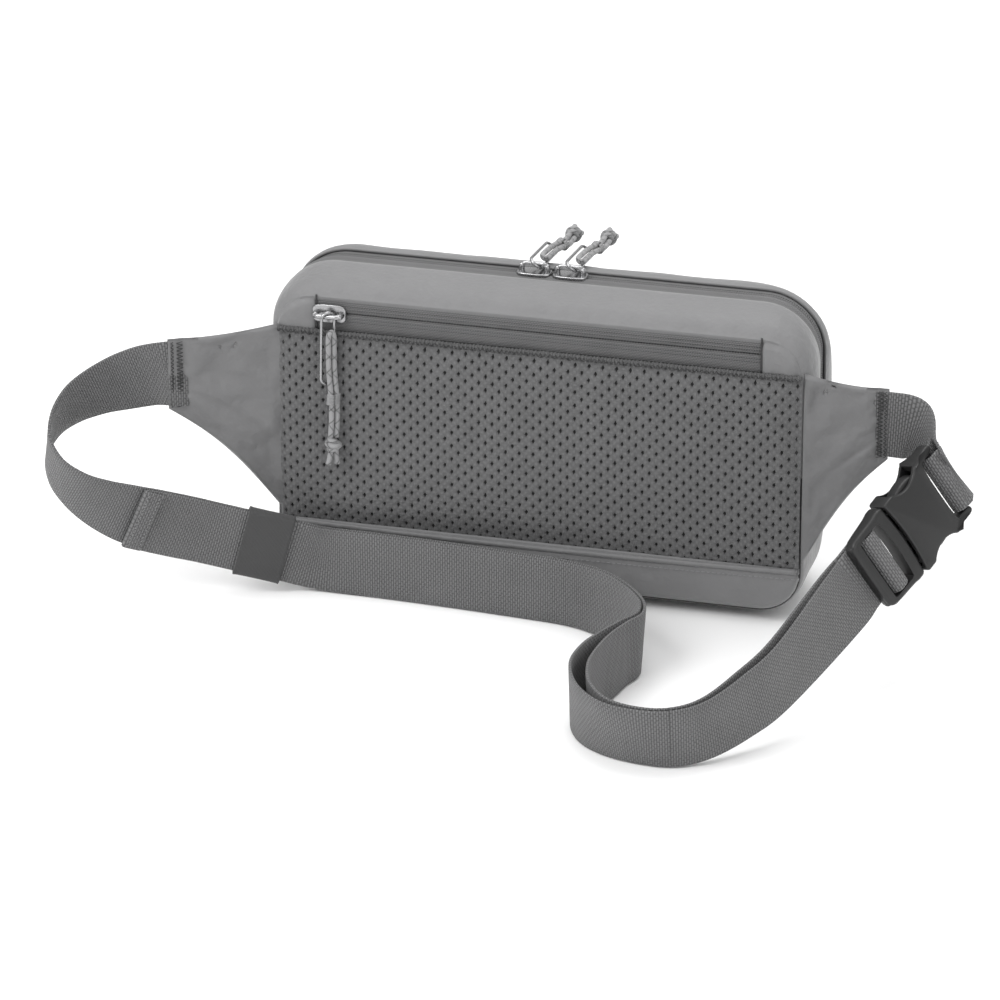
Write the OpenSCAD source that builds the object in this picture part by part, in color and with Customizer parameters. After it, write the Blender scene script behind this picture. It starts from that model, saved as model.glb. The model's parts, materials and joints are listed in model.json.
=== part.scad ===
// A waist pack standing on its base, seen from the wearer's side along +Y.
// X runs along the back panel, Y from the wearer (-) to the front (+), Z is up.
// The origin is the middle of the base.

/* [Body] */
// Width of the back panel, seam to seam
body_w = 250; // [210:1:300]
// Height from the base to the top zip
body_h = 150; // [125:1:180]
// Depth from the back panel to the front panel
body_d = 60; // [48:1:72]
// Thickness of the shell fabric with its lining
wall = 1.6; // [1.2:0.1:2]
// Height at which the top gusset meets the bottom gusset
gusset_split_z = 74; // [66:1:84]

/* [Back panel] */
// Thickness of the spacer mesh pad
pad_t = 3; // [2.5:0.5:4]
// Height of the pad's lower edge
pad_low_z = 28; // [22:1:36]
// Height of the back pocket's zip band, from the pad up to the seam
back_band_h = 15; // [14:0.5:16]
// Half length of the back pocket's zip
back_zip_half = 107; // [90:1:118]
// Diameter of the piping under the pad
piping_d = 3; // [2:0.5:4]

/* [Front pocket] */
// How far the pocket stands out from the front panel
pocket_d = 9; // [7:0.5:14]
// Height of the pocket's upper edge
pocket_top_z = 105; // [92:1:116]
// Half length of the pocket's zip
front_zip_half = 92; // [70:1:98]

/* [Zips] */
// Width of both tapes together
zip_w = 18; // [16:0.5:22]
// Thickness of a tape
tape_t = 1; // [0.8:0.1:1.2]
// Thickness of the coil under the tapes
coil_t = 2.4; // [2:0.1:3]
// Slit between the two sides of a zip
slit = 1.2; // [1:0.1:1.6]
// Length of a slider
slider_l = 16; // [13:0.5:18]
// Width of a slider
slider_w = 9; // [7:0.5:11]
// Length of a pull ring over its ends
ring_l = 36; // [28:1:40]
// Width of a pull ring over its sides
ring_w = 8; // [7:0.5:10]
// Diameter of the ring's wire
wire_d = 1.5; // [1.2:0.1:1.8]
// Diameter of the pull cord
cord_d = 2.6; // [2:0.1:3]

/* [Strap] */
// Width of the webbing
web_w = 32; // [28:1:34]
// Thickness of the webbing
web_t = 1.5; // [1.2:0.1:1.8]
// Length of the elastic keeper along the strap
keeper_l = 22; // [16:1:28]
// Length of the folded hem at the tail's end
hem_l = 9; // [7:0.5:12]

/* [Buckle] */
// Width over the buckle
buckle_w = 41; // [40:0.5:46]
// Length of the socket from its web bar to its mouth
socket_l = 38; // [36:0.5:42]
// Thickness over the socket
socket_t = 11; // [11:0.5:13]
// Wall of the socket
socket_wall = 2; // [1.6:0.1:2.4]
// Diameter of the web bars
bar_d = 4; // [3.5:0.1:4.4]

/* [Hidden] */

fabric = "#7d7d7f";
mesh_grey = "#6a6a6c";
webbing = "#737375";
black_plastic = "#2b2b2d";
metal = "#9a9a9c";
cord_grey = "#a9a9a6";
$fn = 48;

back_y = -body_d / 2;
front_y = body_d / 2;
seam_drop = 8;          // the back seam lies this far under the top zip
seam_lift = 6;          // and this far above the base
seam_top_z = body_h - seam_drop;
pad_top_z = seam_top_z - 2 - back_band_h;
flat_half = zip_w / 2;  // the top zip's flat band
fit = 0.3;              // clearance between pieces that only touch

// Sections of the body from back to front: y, half width, low z, high z, upper radius, lower radius.
half_w = body_w / 2;
SECTIONS = [
    [back_y, half_w, seam_lift, seam_top_z, 18, 20],
    [back_y + 6, half_w + 1.3, 2.5, body_h - 4.5, 21, 23],
    [back_y + 14, half_w + 2, 0.6, body_h - 1.8, 24, 26],
    [-flat_half, half_w + 2, 0, body_h, 26, 28],
    [flat_half, half_w + 2, 0, body_h, 28, 28],
    [flat_half + 8, half_w + 1.5, 0, body_h - 2.5, 32, 30],
    [front_y - 5, half_w + 0.3, 1.5, body_h - 8, 38, 33],
    [front_y, half_w - 2, 5, body_h - 14, 42, 34]];
ARC_STEPS = 8;

// Half outlines of a section, both from the left side to the right side, in X and Z.
function arc(cx, cz, r, a0, a1) =
    [for (i = [0:ARC_STEPS]) let (a = a0 + (a1 - a0) * i / ARC_STEPS) [cx + r * cos(a), cz + r * sin(a)]];
function upper_half(s, inset, split) = let (w = s[1] - inset, top = s[3] - inset, r = s[4] - inset)
    concat([[-w, split]], arc(r - w, top - r, r, 180, 90), arc(w - r, top - r, r, 90, 0), [[w, split]]);
function lower_half(s, inset, split) = let (w = s[1] - inset, low = s[2] + inset, r = s[5] - inset)
    concat([[-w, split]], arc(r - w, low + r, r, 180, 270), arc(w - r, low + r, r, 270, 360), [[w, split]]);

// A section of the body at any depth, blended between its neighbours in the list.
function section_at(y, i = 0) =
    i >= len(SECTIONS) - 2 || y <= SECTIONS[i + 1][0]
    ? let (a = SECTIONS[i], b = SECTIONS[i + 1]) a + (b - a) * (y - a[0]) / (b[0] - a[0])
    : section_at(y, i + 1);

// A closed solid between rows of points: every row is a closed loop of the same length.
module loft(rows) {
    n = len(rows[0]);
    m = len(rows);
    points = [for (row = rows) each row];
    sides = [for (j = [0:m - 2], i = [0:n - 1]) let (a = j * n + i, b = j * n + (i + 1) % n)
        each [[a, b, b + n], [a, b + n, a + n]]];
    polyhedron(points, concat([[for (i = [n - 1:-1:0]) i]], sides, [[for (i = [0:n - 1]) (m - 1) * n + i]]));
}

// A strip of the body's wall between two depths; inset and t place it under the outer surface.
module wall_strip(y0, y1, upper, inset = 0, t = wall, split = gusset_split_z) {
    stops = concat([y0], [for (s = SECTIONS) if (s[0] > y0 + 0.01 && s[0] < y1 - 0.01) s[0]], [y1]);
    outer = [for (y = stops) let (s = section_at(y))
        [for (p = upper ? upper_half(s, inset, split) : lower_half(s, inset, split)) [p[0], y, p[1]]]];
    inner = [for (y = stops) let (s = section_at(y))
        [for (p = upper ? upper_half(s, inset + t, split) : lower_half(s, inset + t, split)) [p[0], y, p[1]]]];
    n = len(outer[0]);
    k = len(stops) - 1;
    rows = [for (i = [0:n - 1]) concat([for (j = [0:k]) outer[j][i]], [for (j = [k:-1:0]) inner[j][i]])];
    loft(upper ? rows : [for (i = [n - 1:-1:0]) rows[i]]);
}

// A flat rounded outline in X and Z with its own upper and lower radius.
module rounded_outline(w, low, top, rt, rb) {
    polygon([for (p = concat(arc(rt - w, top - rt, rt, 180, 90), arc(w - rt, top - rt, rt, 90, 0),
        arc(w - rb, low + rb, rb, 360, 270), arc(rb - w, low + rb, rb, 270, 180))) p]);
}

// A plate in X and Z that runs from y to y + t.
module plate(y, t) {
    translate([0, y + t, 0]) rotate([90, 0, 0]) linear_extrude(t) children();
}

// ---- Zips: a run along X at z = 0, with its outer face up and its two sides at +Y and -Y ----

module zip_tape(half, side, width = zip_w) {
    low = side > 0 ? slit / 2 : -width / 2;
    translate([-half, low, -tape_t]) cube([2 * half, (width - slit) / 2, tape_t]);
}

coil_w = 2.6;

module zip_coil(half, side) {
    low = side > 0 ? slit / 2 : -slit / 2 - coil_w;
    translate([-half, low, -tape_t - coil_t]) cube([2 * half, coil_w, coil_t]);
}

plate_t = 1.5;
bridge_r = 1.1;
window_h = 2.6;         // height of the window under the bridge
bridge_z = fit + plate_t + window_h + bridge_r;
column_l = 2.5;

module slider() {
    under = tape_t + coil_t + fit;
    half = slider_l / 2 - 1.5;
    color(metal) {
        translate([-slider_l / 2, -slider_w / 2, fit]) cube([slider_l, slider_w, plate_t]);
        translate([-slider_l / 2, -slider_w / 2, -under - plate_t]) cube([slider_l, slider_w, plate_t]);
        translate([-slider_l / 2, -0.3, -under - plate_t]) cube([4, 0.6, under + plate_t + 2 * fit]);
        translate([-half, 0, bridge_z]) rotate([0, 90, 0]) cylinder(r = bridge_r, h = 2 * half);
        for (end = [-half, half - column_l]) translate([end, -bridge_r, fit]) cube([column_l, 2 * bridge_r, bridge_z - fit]);
    }
}

// ---- Pull ring, cord and knot: origin on the ring's near end, +X along the pull, Z out of the cloth ----

wire_r = wire_d / 2;
turn = ring_w / 2 - wire_r;

module ring() {
    straight = ring_l - ring_w;
    color(metal) translate([turn, 0, 0]) {
        for (side = [-1, 1]) translate([0, side * turn, 0]) rotate([0, 90, 0]) cylinder(r = wire_r, h = straight);
        for (end = [0, 1]) translate([end * straight, 0, 0]) rotate([0, 0, end * 180])
            rotate([0, 0, 90]) rotate_extrude(angle = 180) translate([turn, 0]) circle(r = wire_r);
    }
}

knot_r = 3.6;
knot_l = 7;
lift = wire_r + cord_d / 2 + 0.15;
strand = cord_d / 2 + 0.1;
// The cord: from the knot up one strand, over the ring, round near the slider, and down the other.
side_x = [ring_l + 25, ring_l + 16, ring_l + 8, ring_l, ring_l - 8, ring_l - 18, 12];
side_y = [3, 3.4, 3, 2, 1.2, 0.9, 0.8];
side_z = [0.8, 0.9, 1.4, lift, lift, lift, lift];
CORD_ROUTE = concat(
    [for (i = [0:len(side_x) - 1]) [side_x[i], side_y[i] + strand, side_z[i]]],
    [[9.8, side_y[6] + strand * 0.7, lift], [8.9, side_y[6], lift], [9.8, side_y[6] - strand * 0.7, lift]],
    [for (i = [len(side_x) - 1:-1:0]) [side_x[i], side_y[i] - strand, side_z[i]]]);

function unit(v) = v / norm(v);
function heading(path, i) = unit(path[min(i + 1, len(path) - 1)] - path[max(i - 1, 0)]);

module tube(path, d, sides = 8) {
    rows = [for (i = [0:len(path) - 1]) let (t = heading(path, i), u = unit(cross(t, [0, 0, 1])), v = cross(u, t))
        [for (k = [0:sides - 1]) let (a = 360 * k / sides) path[i] + d / 2 * (u * cos(a) + v * sin(a))]];
    loft(rows);
}

module pull_cord() { color(cord_grey) tube(CORD_ROUTE, cord_d); }

module pull_knot() {
    color(cord_grey) translate([side_x[0], side_y[0], side_z[0]]) rotate([0, 90, 0]) {
        rotate_extrude() polygon([[0, 0], [knot_r * 0.8, 0], [knot_r, knot_l * 0.3], [knot_r, knot_l * 0.7],
            [knot_r * 0.8, knot_l], [0, knot_l]]);
        for (side = [-1, 1]) translate([0, side * strand, knot_l * 0.8]) cylinder(d = cord_d, h = 7);
    }
}

// ---- Places of the zips, sliders and pulls ----

back_zip_z = pad_top_z + 1 + back_band_h / 2;
back_face_y = back_y - fit - tape_t;
front_zip_z = pocket_top_z - 4 - zip_w / 2;
front_face_y = front_y + pocket_d;
main_gap = 1;                              // between the two sliders of the top zip
main_left_x = -slider_l / 2 - main_gap;
main_right_x = slider_l / 2;
back_slider_x = -back_zip_half + slider_l / 2;
front_slider_x = -front_zip_half + slider_l / 2 + 1;
module on_back_zip(x = 0) { translate([x, back_y, back_zip_z]) rotate([90, 0, 0]) children(); }
module on_front_zip(x = 0) { translate([x, front_face_y, front_zip_z]) rotate([-90, 0, 0]) children(); }
module on_top_zip(x = 0) { translate([x, 0, body_h]) children(); }

ring_twist = 40;        // a ring that hangs across the bridge is turned this far about its length
ring_reach = bridge_r + wire_r + 0.2;
ring_offset = 0.6;      // its place along the bridge
hang_lift = 4;          // a hanging pull stands off the cloth by this angle
drape_dip = 7;          // the top pulls drop this far below level over the front
// A pull that hangs across the bridge, towards -Y.
module across_bridge(lean) {
    translate([ring_offset, 0, bridge_z]) rotate([-lean, 0, 0]) rotate([0, 0, -90]) rotate([-ring_twist, 0, 0])
        translate([-ring_reach, 0, 0]) children();
}

module place_pull(which) {
    if (which == "back") on_back_zip(back_slider_x) across_bridge(hang_lift) children();
    if (which == "front") on_front_zip(front_slider_x) mirror([0, 1, 0]) across_bridge(hang_lift) children();
    if (which == "left") on_top_zip(main_left_x) mirror([0, 1, 0]) across_bridge(-drape_dip) children();
    if (which == "right") on_top_zip(main_right_x) mirror([0, 1, 0]) across_bridge(-drape_dip) children();
}

// ---- Body ----

module back_panel() {
    color(fabric) difference() {
        plate(back_y, wall) rounded_outline(half_w, seam_lift, seam_top_z, 18, 20);
        translate([-back_zip_half, back_y - 1, pad_top_z + 1]) cube([2 * back_zip_half, wall + 2, back_band_h]);
    }
}

module back_mesh_pad() {
    color(mesh_grey) plate(back_y - pad_t, pad_t)
        polygon([[-half_w + 0.5, pad_low_z], [half_w - 0.5, pad_low_z], [half_w - 0.5, pad_top_z], [-half_w + 0.5, pad_top_z]]);
}

foam_t = 4;
liner_gap = 6;          // depth of the back pocket

module pad_foam() {
    color("#d8d8d2") plate(back_y + wall + fit + liner_gap + 1, foam_t)
        rounded_outline(half_w - 6, 12, pad_top_z - 6, 8, 14);
}

module back_pocket_liner() {
    color("#8f8f91") plate(back_y + wall + fit + liner_gap, 0.8)
        rounded_outline(half_w - 5, 11, seam_top_z - 5, 12, 15);
}

module pad_piping() {
    color(fabric) translate([-half_w + 1, back_y - piping_d / 2, pad_low_z - piping_d / 2 - 0.1])
        rotate([0, 90, 0]) cylinder(d = piping_d, h = 2 * half_w - 2);
}

band_side = (back_band_h - slit) / 2;
module back_zip_tape(side) { color(mesh_grey) on_back_zip() zip_tape(back_zip_half, side, back_band_h); }
module back_zip_coil(side) { color(black_plastic) on_back_zip() zip_coil(back_zip_half, side); }
module front_zip_tape(side) { color(mesh_grey) on_front_zip() zip_tape(front_zip_half, side); }
module front_zip_coil(side) { color(black_plastic) on_front_zip() zip_coil(front_zip_half, side); }

module main_zip_tape(side) {
    color(mesh_grey) wall_strip(side > 0 ? slit / 2 : -flat_half, side > 0 ? flat_half : -slit / 2, true, 0, tape_t);
}

module main_zip_coil(side) {
    color(black_plastic) wall_strip(side > 0 ? slit / 2 : -slit / 2 - coil_w, side > 0 ? slit / 2 + coil_w : -slit / 2,
        true, tape_t, coil_t, gusset_split_z + 4);
}

module top_gusset_back() { color(fabric) wall_strip(back_y + wall, -flat_half, true); }
module top_gusset_front() { color(fabric) wall_strip(flat_half, front_y, true); }
module bottom_gusset() { color(fabric) wall_strip(back_y + wall, front_y, false, 0, wall, gusset_split_z - 0.05); }

module front_panel() {
    color(fabric) plate(front_y, wall) rounded_outline(half_w - 2, 5, body_h - 14, 42, 34);
}

module inner_pocket() {
    color("#8f8f91") plate(front_y - 3, 0.8) rounded_outline(half_w - 12, 14, 96, 4, 26);
}

pocket_half = half_w - 6;
pocket_low_z = 9;
module front_pocket() {
    color(fabric) difference() {
        plate(front_y + wall, pocket_d - wall) rounded_outline(pocket_half, pocket_low_z, pocket_top_z, 10, 30);
        plate(front_y + wall - 1, pocket_d - 2 * wall + 1)
            rounded_outline(pocket_half - wall, pocket_low_z + wall, pocket_top_z - wall, 10 - wall, 30 - wall);
        translate([-front_zip_half, front_face_y - wall - 1, front_zip_z - flat_half])
            cube([2 * front_zip_half, wall + 2, zip_w]);
    }
}

// ---- Wings ----

wing_t = 2.4;
wing_reach = 46;
WING_LEFT_TIP = [-half_w - wing_reach, back_y - 22];
WING_RIGHT_TIP = [half_w + 39, back_y + 4];
web_z = seam_top_z - 38;   // middle of the webbing where it leaves a wing

// A wing from the body's side seam to the webbing; half_tip is half its height at the tip.
module wing(side, tip) {
    root = [side * (section_at(back_y + wall + wing_t / 2)[1] + 0.05), back_y + wall];
    steps = 6;
    half_tip = web_w / 2 + 1.5;
    rows = [for (i = [0:steps]) let (f = i / steps, p = root + (tip - root) * f,
        top = (pad_top_z + 1) * (1 - f) + (web_z + half_tip) * f,
        low = (pad_low_z + 2) * (1 - f) + (web_z - half_tip) * f + 6 * sin(180 * f))
        [[p[0], p[1] - wing_t / 2, low], [p[0], p[1] - wing_t / 2, top],
         [p[0], p[1] + wing_t / 2, top], [p[0], p[1] + wing_t / 2, low]]];
    color(fabric) loft(side > 0 ? [for (i = [steps:-1:0]) rows[i]] : rows);
}

// ---- Buckle: a frame with X from the web bar to the plug's end, Y across the web, Z outwards ----

buckle_yaw = -114.8;
buckle_dip = 26.7;
buckle_roll = -70.4;
BUCKLE_AT = [half_w + 68.5, back_y - 14.4, web_z - 17];
module on_buckle() {
    translate(BUCKLE_AT) rotate([0, buckle_dip, buckle_yaw]) rotate([buckle_roll, 0, 0]) children();
}
function turn_x(p, a) = [p[0], p[1] * cos(a) - p[2] * sin(a), p[1] * sin(a) + p[2] * cos(a)];
function turn_y(p, a) = [p[0] * cos(a) + p[2] * sin(a), p[1], p[2] * cos(a) - p[0] * sin(a)];
function turn_z(p, a) = [p[0] * cos(a) - p[1] * sin(a), p[0] * sin(a) + p[1] * cos(a), p[2]];
function buckle_turn(p) = turn_z(turn_y(turn_x(p, buckle_roll), buckle_dip), buckle_yaw);
function buckle_point(x, z) = BUCKLE_AT + buckle_turn([x, 0, z]);
across = buckle_turn([0, -1, 0]);   // from the web's lower edge to its upper edge

half_b = buckle_w / 2;
slot_half = web_w / 2 + 0.8;
side_wall = 3;
shoulder_x = socket_l + 0.4;
socket_start = 8;
window_from = 12;
window_to = 32;

module bar(x, z = 0, d = bar_d) {
    translate([x, -half_b + 1, z]) rotate([-90, 0, 0]) cylinder(d = d, h = buckle_w - 2);
}

module buckle_socket() {
    inner_t = socket_t - 2 * socket_wall;
    color(black_plastic) on_buckle() {
        bar(0);
        for (side = [-1, 1]) translate([-1.5, side > 0 ? slot_half : -half_b, -socket_t / 2 + 2.5])
            cube([socket_start + 2, half_b - slot_half, socket_t - 5]);
        difference() {
            translate([socket_start, -half_b, -socket_t / 2]) cube([socket_l - socket_start, buckle_w, socket_t]);
            translate([socket_start + socket_wall, -half_b + side_wall, -inner_t / 2])
                cube([socket_l, buckle_w - 2 * side_wall, inner_t]);
            for (side = [-1, 1]) {
                translate([window_from, side * half_b - 5, -inner_t / 2]) cube([window_to - window_from, 10, inner_t]);
                translate([(window_from + window_to) / 2, side * (half_b + 9), -socket_t])
                    cylinder(r = 13, h = 2 * socket_t);
            }
        }
    }
}

ladder_l = 25;
plug_end = shoulder_x + ladder_l;
end_bar_x = plug_end - bar_d / 2;
mid_bar_x = shoulder_x + 13.6;
mid_bar_d = 3.2;
shoulder_l = 5.6;
rail_t = 7;

module buckle_plug() {
    color(black_plastic) on_buckle() {
        translate([shoulder_x, -half_b, -rail_t / 2 - 0.5]) cube([shoulder_l, buckle_w, rail_t + 1]);
        for (side = [-1, 1]) translate([shoulder_x + shoulder_l - 1, side > 0 ? slot_half : -half_b, -rail_t / 2])
            cube([ladder_l - shoulder_l - 0.5, half_b - slot_half, rail_t]);
        bar(end_bar_x, 0, bar_d + 0.6);
        bar(mid_bar_x, 0.4, mid_bar_d);
        translate([socket_start + 7, -3.5, -2]) cube([shoulder_x - socket_start - 6, 7, 4]);
    }
}

arm_out = half_b - side_wall - 0.9;
arm_t = 5;
arm_swell = 2;          // how far the arm's button stands into the socket's window
arm_root_r = 1.7;
// A latch arm in the plug's plane: it turns about its round root beside the shoulder.
module latch_arm(side) {
    tip = socket_start + 4.5;
    root_x = shoulder_x - 0.15 - arm_root_r;
    color(black_plastic) on_buckle() mirror([0, side > 0 ? 0 : 1, 0]) translate([0, 0, -arm_t / 2])
        linear_extrude(arm_t) {
            translate([root_x, arm_out - arm_root_r]) circle(r = arm_root_r);
            polygon([[root_x, arm_out - 2 * arm_root_r], [root_x, arm_out],
                [window_to - 2, arm_out], [tip + 6.5, arm_out + arm_swell], [tip + 4, arm_out + arm_swell - 0.2],
                [tip, arm_out - 1.6], [tip, arm_out - 3.2], [tip + 5, arm_out - 3.6], [window_to - 4, arm_out - 3]]);
        }
}

// ---- Webbing: ribbons swept along routes; each stop has a place, the web's upward direction and
// the gap to the second layer that lies on its right-hand side ----

UP = [0, 0, 1];
// Moves a stop with the body's width, its back and the height of the wings.
function spread(x) = abs(x) <= 125 ? x * half_w / 125 : x + sign(x) * (half_w - 125);
function tied(stops) = [for (s = stops) [[spread(s[0][0]), s[0][1] + back_y + 30,
    s[0][2] + (web_z - 104) * min(1, max(0, (s[0][2] - 45) / 59))], s[1], s[2]]];
lie = web_w / 2 + 0.2;   // height of the web's middle where it stands on its edge
LOOP_STOPS = tied([
    [[-171, -52, 104], [-0.2, 0, 1], 0], [[-182, -49.5, 101], [-0.25, -0.15, 0.95], 0],
    [[-194, -51, 97], [-0.2, -0.3, 0.93], 0], [[-205, -55, 93], [-0.15, -0.5, 0.87], 0],
    [[-214.5, -61, 88], [0, -0.6, 0.8], 0], [[-221, -69, 81], [0.15, -0.7, 0.7], 0],
    [[-222, -78, 72.5], [0.3, -0.7, 0.7], 0], [[-216, -84.5, 63.5], [0.4, -0.6, 0.7], 0],
    [[-206, -86.5, 56], [0.45, -0.45, 0.77], 0], [[-195, -85, 50], [0.45, -0.25, 0.85], 2],
    [[-184, -81.5, 45], [0.4, -0.05, 0.9], 2]]);
FRONT_STOPS = tied([
    [[-184, -81.5, 45], [0.4, -0.05, 0.9], 2], [[-174, -76, 40.5], [0.35, 0.05, 0.93], 2],
    [[-163, -69, 35.7], [0.3, 0.05, 0.94], 2], [[-152, -63, 31.5], [0.25, 0, 0.96], 2],
    [[-134, -57.7, 26.5], [0.25, 0, 0.96], 2], [[-116, -52.3, 21.6], [0.25, 0, 0.96], 2],
    [[-98, -47, 16.6], [0.25, 0, 0.96], 2], [[-70, -47, lie], [0.05, 0, 1], 2], [[-35, -49, lie], UP, 2],
    [[0, -52, lie], UP, 2]]);
BEND_STOPS = tied([
    [[0, -52, lie], UP, 2], [[20, -54.5, lie], UP, 2], [[36, -60, lie], [0.1, 0, 1], 2],
    [[50.5, -71, lie], [0.1, 0, 1], 2], [[63, -87, lie], [0.08, 0, 1], 2], [[66.5, -101, lie], [0.05, 0, 1], 2.5],
    [[62.5, -113, lie], [0, 0, 1], 3.5], [[59, -127, lie], [-0.05, 0, 1], 5.5],
    [[56, -141, lie], [0, -0.05, 1], 7.5], [[56, -157, lie], [0, -0.1, 1], 8],
    [[61, -173, lie], [0, -0.2, 1], 6], [[72, -185.5, lie], [0, -0.3, 0.97], 3.5],
    [[86, -191, lie], [0, -0.3, 0.97], 2.2], [[101, -190, lie], [0, -0.25, 0.97], 2.2]]);
RUN_STOPS = concat(tied([
    [[101, -190, lie], [0, -0.25, 0.97], 2.2], [[114, -181.5, 18], [0, -0.2, 1], 3],
    [[126.5, -166, 23.5], [-0.05, -0.1, 1], 4.5], [[139, -147, 31.5], [-0.1, 0, 1], 5]]),
    [[buckle_point(plug_end + 16, -7.5), across, 4.5], [buckle_point(plug_end + 5.2, -6.3), across, 2.6]]);
// The web's way through the ladder, in the buckle's X and Z.
LADDER_STOPS = [[plug_end + 2.5, -6.3], [end_bar_x - 3, -6.2], [mid_bar_x - 2, -5.6], [mid_bar_x - 4.4, -3.6],
    [mid_bar_x - 4.4, 0.6], [mid_bar_x - 2.4, 3], [mid_bar_x, 3.4], [mid_bar_x + 2.4, 3], [mid_bar_x + 4.2, 0.6],
    [mid_bar_x + 4.2, -1.6], [end_bar_x - 1.2, -3.5], [end_bar_x + 1.5, -3.7], [plug_end + 2.5, -3.7]];
SHORT_STOPS = [
    [[WING_RIGHT_TIP[0], WING_RIGHT_TIP[1], web_z], UP], [[half_w + 50, back_y + 4.2, web_z - 1], [-0.1, 0, 1]],
    [[half_w + 59, back_y + 1, web_z - 5], [-0.35, -0.1, 0.93]],
    [[half_w + 66, back_y - 4.5, web_z - 10], [-0.45, -0.2, 0.87]],
    [buckle_point(-5, 3.4), across], [buckle_point(-1.5, 3.9), across], [buckle_point(1.6, 3.4), across],
    [buckle_point(3.8, 0), across], [buckle_point(1.6, -3.4), across], [buckle_point(-2, -3.4), across],
    [buckle_point(-6.5, -4), across], [buckle_point(-11, -6.3), across]];

// A smooth curve through a list of places or directions.
function spline(a, b, c, d, t) = 0.5 * (2 * b + (c - a) * t + (2 * a - 5 * b + 4 * c - d) * t * t
    + (3 * b - a - 3 * c + d) * t * t * t);
function smooth(list, steps) = let (n = len(list) - 1) concat(
    [for (i = [0:n - 1], s = [0:steps - 1]) spline(list[max(i - 1, 0)], list[i], list[i + 1],
        list[min(i + 2, n)], s / steps)], [list[n]]);
function column(list, k) = [for (row = list) row[k]];

// The stations of a ribbon: place, width direction square to the way, and facing direction.
function stations(stops, steps, layer = 0) = let (
    places = smooth(column(stops, 0), steps), ups = smooth(column(stops, 1), steps),
    gaps = layer == 0 ? [] : smooth(column(stops, 2), steps))
    [for (i = [0:len(places) - 1]) let (t = heading(places, i), up = unit(ups[i] - (ups[i] * t) * t),
        face = cross(t, up)) [places[i] + (layer == 0 ? 0 : gaps[i]) * face, up, face]];

module ribbon(rows, w = web_w, t = web_t) {
    loft([for (s = rows) [s[0] - s[1] * w / 2 - s[2] * t / 2, s[0] - s[1] * w / 2 + s[2] * t / 2,
        s[0] + s[1] * w / 2 + s[2] * t / 2, s[0] + s[1] * w / 2 - s[2] * t / 2]]);
}

function part_of(list, from, to) = [for (i = [from:to]) list[i]];
module strap(stops, steps = 3, layer = 0) { color(webbing) ribbon(stations(stops, steps, layer)); }

module strap_ladder_loop() {
    color(webbing) ribbon(stations([for (p = LADDER_STOPS) [buckle_point(p[0], p[1]), across]], 2));
}

module short_strap() { color(webbing) ribbon(stations(SHORT_STOPS, 3)); }

hem_row = 1;             // the station of the front run at which the tail starts
tail_rows = stations(FRONT_STOPS, 3, 1);
module tail_front() { color(webbing) ribbon(part_of(tail_rows, hem_row, len(tail_rows) - 1)); }

// The first stations of a ribbon, up to a length along it.
function first_part(rows, length, i = 0) = let (step = norm(rows[i + 1][0] - rows[i][0]), f = length / step)
    f <= 1 ? [rows[i], rows[i] + (rows[i + 1] - rows[i]) * f]
    : concat([rows[i]], first_part(rows, length - step, i + 1));

// The folded end of the tail, on the tail's outer side.
module tail_hem() {
    color(webbing) ribbon([for (s = first_part(part_of(tail_rows, hem_row, len(tail_rows) - 1), hem_l))
        [s[0] + s[2] * (web_t + 0.1), s[1], s[2]]]);
}

// The elastic keeper: a flat sleeve round both layers, on the straight part of the front run.
keeper_wall = 1;
keeper_at = 0.5;        // its place between the straight part's two ends
keeper_from = FRONT_STOPS[4][0];
keeper_to = FRONT_STOPS[5][0];
keeper_way = unit(keeper_to - keeper_from);
keeper_up = unit(FRONT_STOPS[4][1] - (FRONT_STOPS[4][1] * keeper_way) * keeper_way);
keeper_face = cross(keeper_way, keeper_up);
KEEPER_MIDDLE = keeper_from + (keeper_to - keeper_from) * keeper_at + keeper_face;
module strap_keeper() {
    hole = [keeper_l + 2, 2 + web_t + 1.8, web_w + 1.6];
    m = [[keeper_way[0], -keeper_face[0], keeper_up[0], KEEPER_MIDDLE[0]],
        [keeper_way[1], -keeper_face[1], keeper_up[1], KEEPER_MIDDLE[1]],
        [keeper_way[2], -keeper_face[2], keeper_up[2], KEEPER_MIDDLE[2]], [0, 0, 0, 1]];
    color("#4a4a4c") multmatrix(m) difference() {
        cube([keeper_l, hole[1] + 2 * keeper_wall, hole[2] + 2 * keeper_wall], center = true);
        cube(hole, center = true);
    }
}

// ---- Nodes ----

back_panel();
back_mesh_pad();
pad_foam();
pad_piping();
back_pocket_liner();
back_zip_tape(1);  // back_zip_tape_upper
back_zip_tape(-1);  // back_zip_tape_lower
back_zip_coil(1);  // back_zip_coil_upper
back_zip_coil(-1);  // back_zip_coil_lower
top_gusset_back();
top_gusset_front();
main_zip_tape(-1);  // main_zip_tape_back
main_zip_tape(1);  // main_zip_tape_front
main_zip_coil(-1);  // main_zip_coil_back
main_zip_coil(1);  // main_zip_coil_front
bottom_gusset();
front_panel();
inner_pocket();
front_pocket();
front_zip_tape(-1);  // front_zip_tape_upper
front_zip_tape(1);  // front_zip_tape_lower
front_zip_coil(-1);  // front_zip_coil_upper
front_zip_coil(1);  // front_zip_coil_lower
wing(-1, WING_LEFT_TIP);  // wing_left
wing(1, WING_RIGHT_TIP);  // wing_right
strap(LOOP_STOPS);  // strap_loop
strap(FRONT_STOPS);  // strap_front
strap(BEND_STOPS);  // strap_bend
strap(RUN_STOPS);  // strap_run
strap_ladder_loop();
tail_front();
strap(BEND_STOPS, 3, 1);  // tail_bend
strap(RUN_STOPS, 3, 1);  // tail_run
tail_hem();
strap_keeper();
short_strap();
buckle_socket();
buckle_plug();
latch_arm(-1);  // latch_arm_upper
latch_arm(1);  // latch_arm_lower
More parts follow.
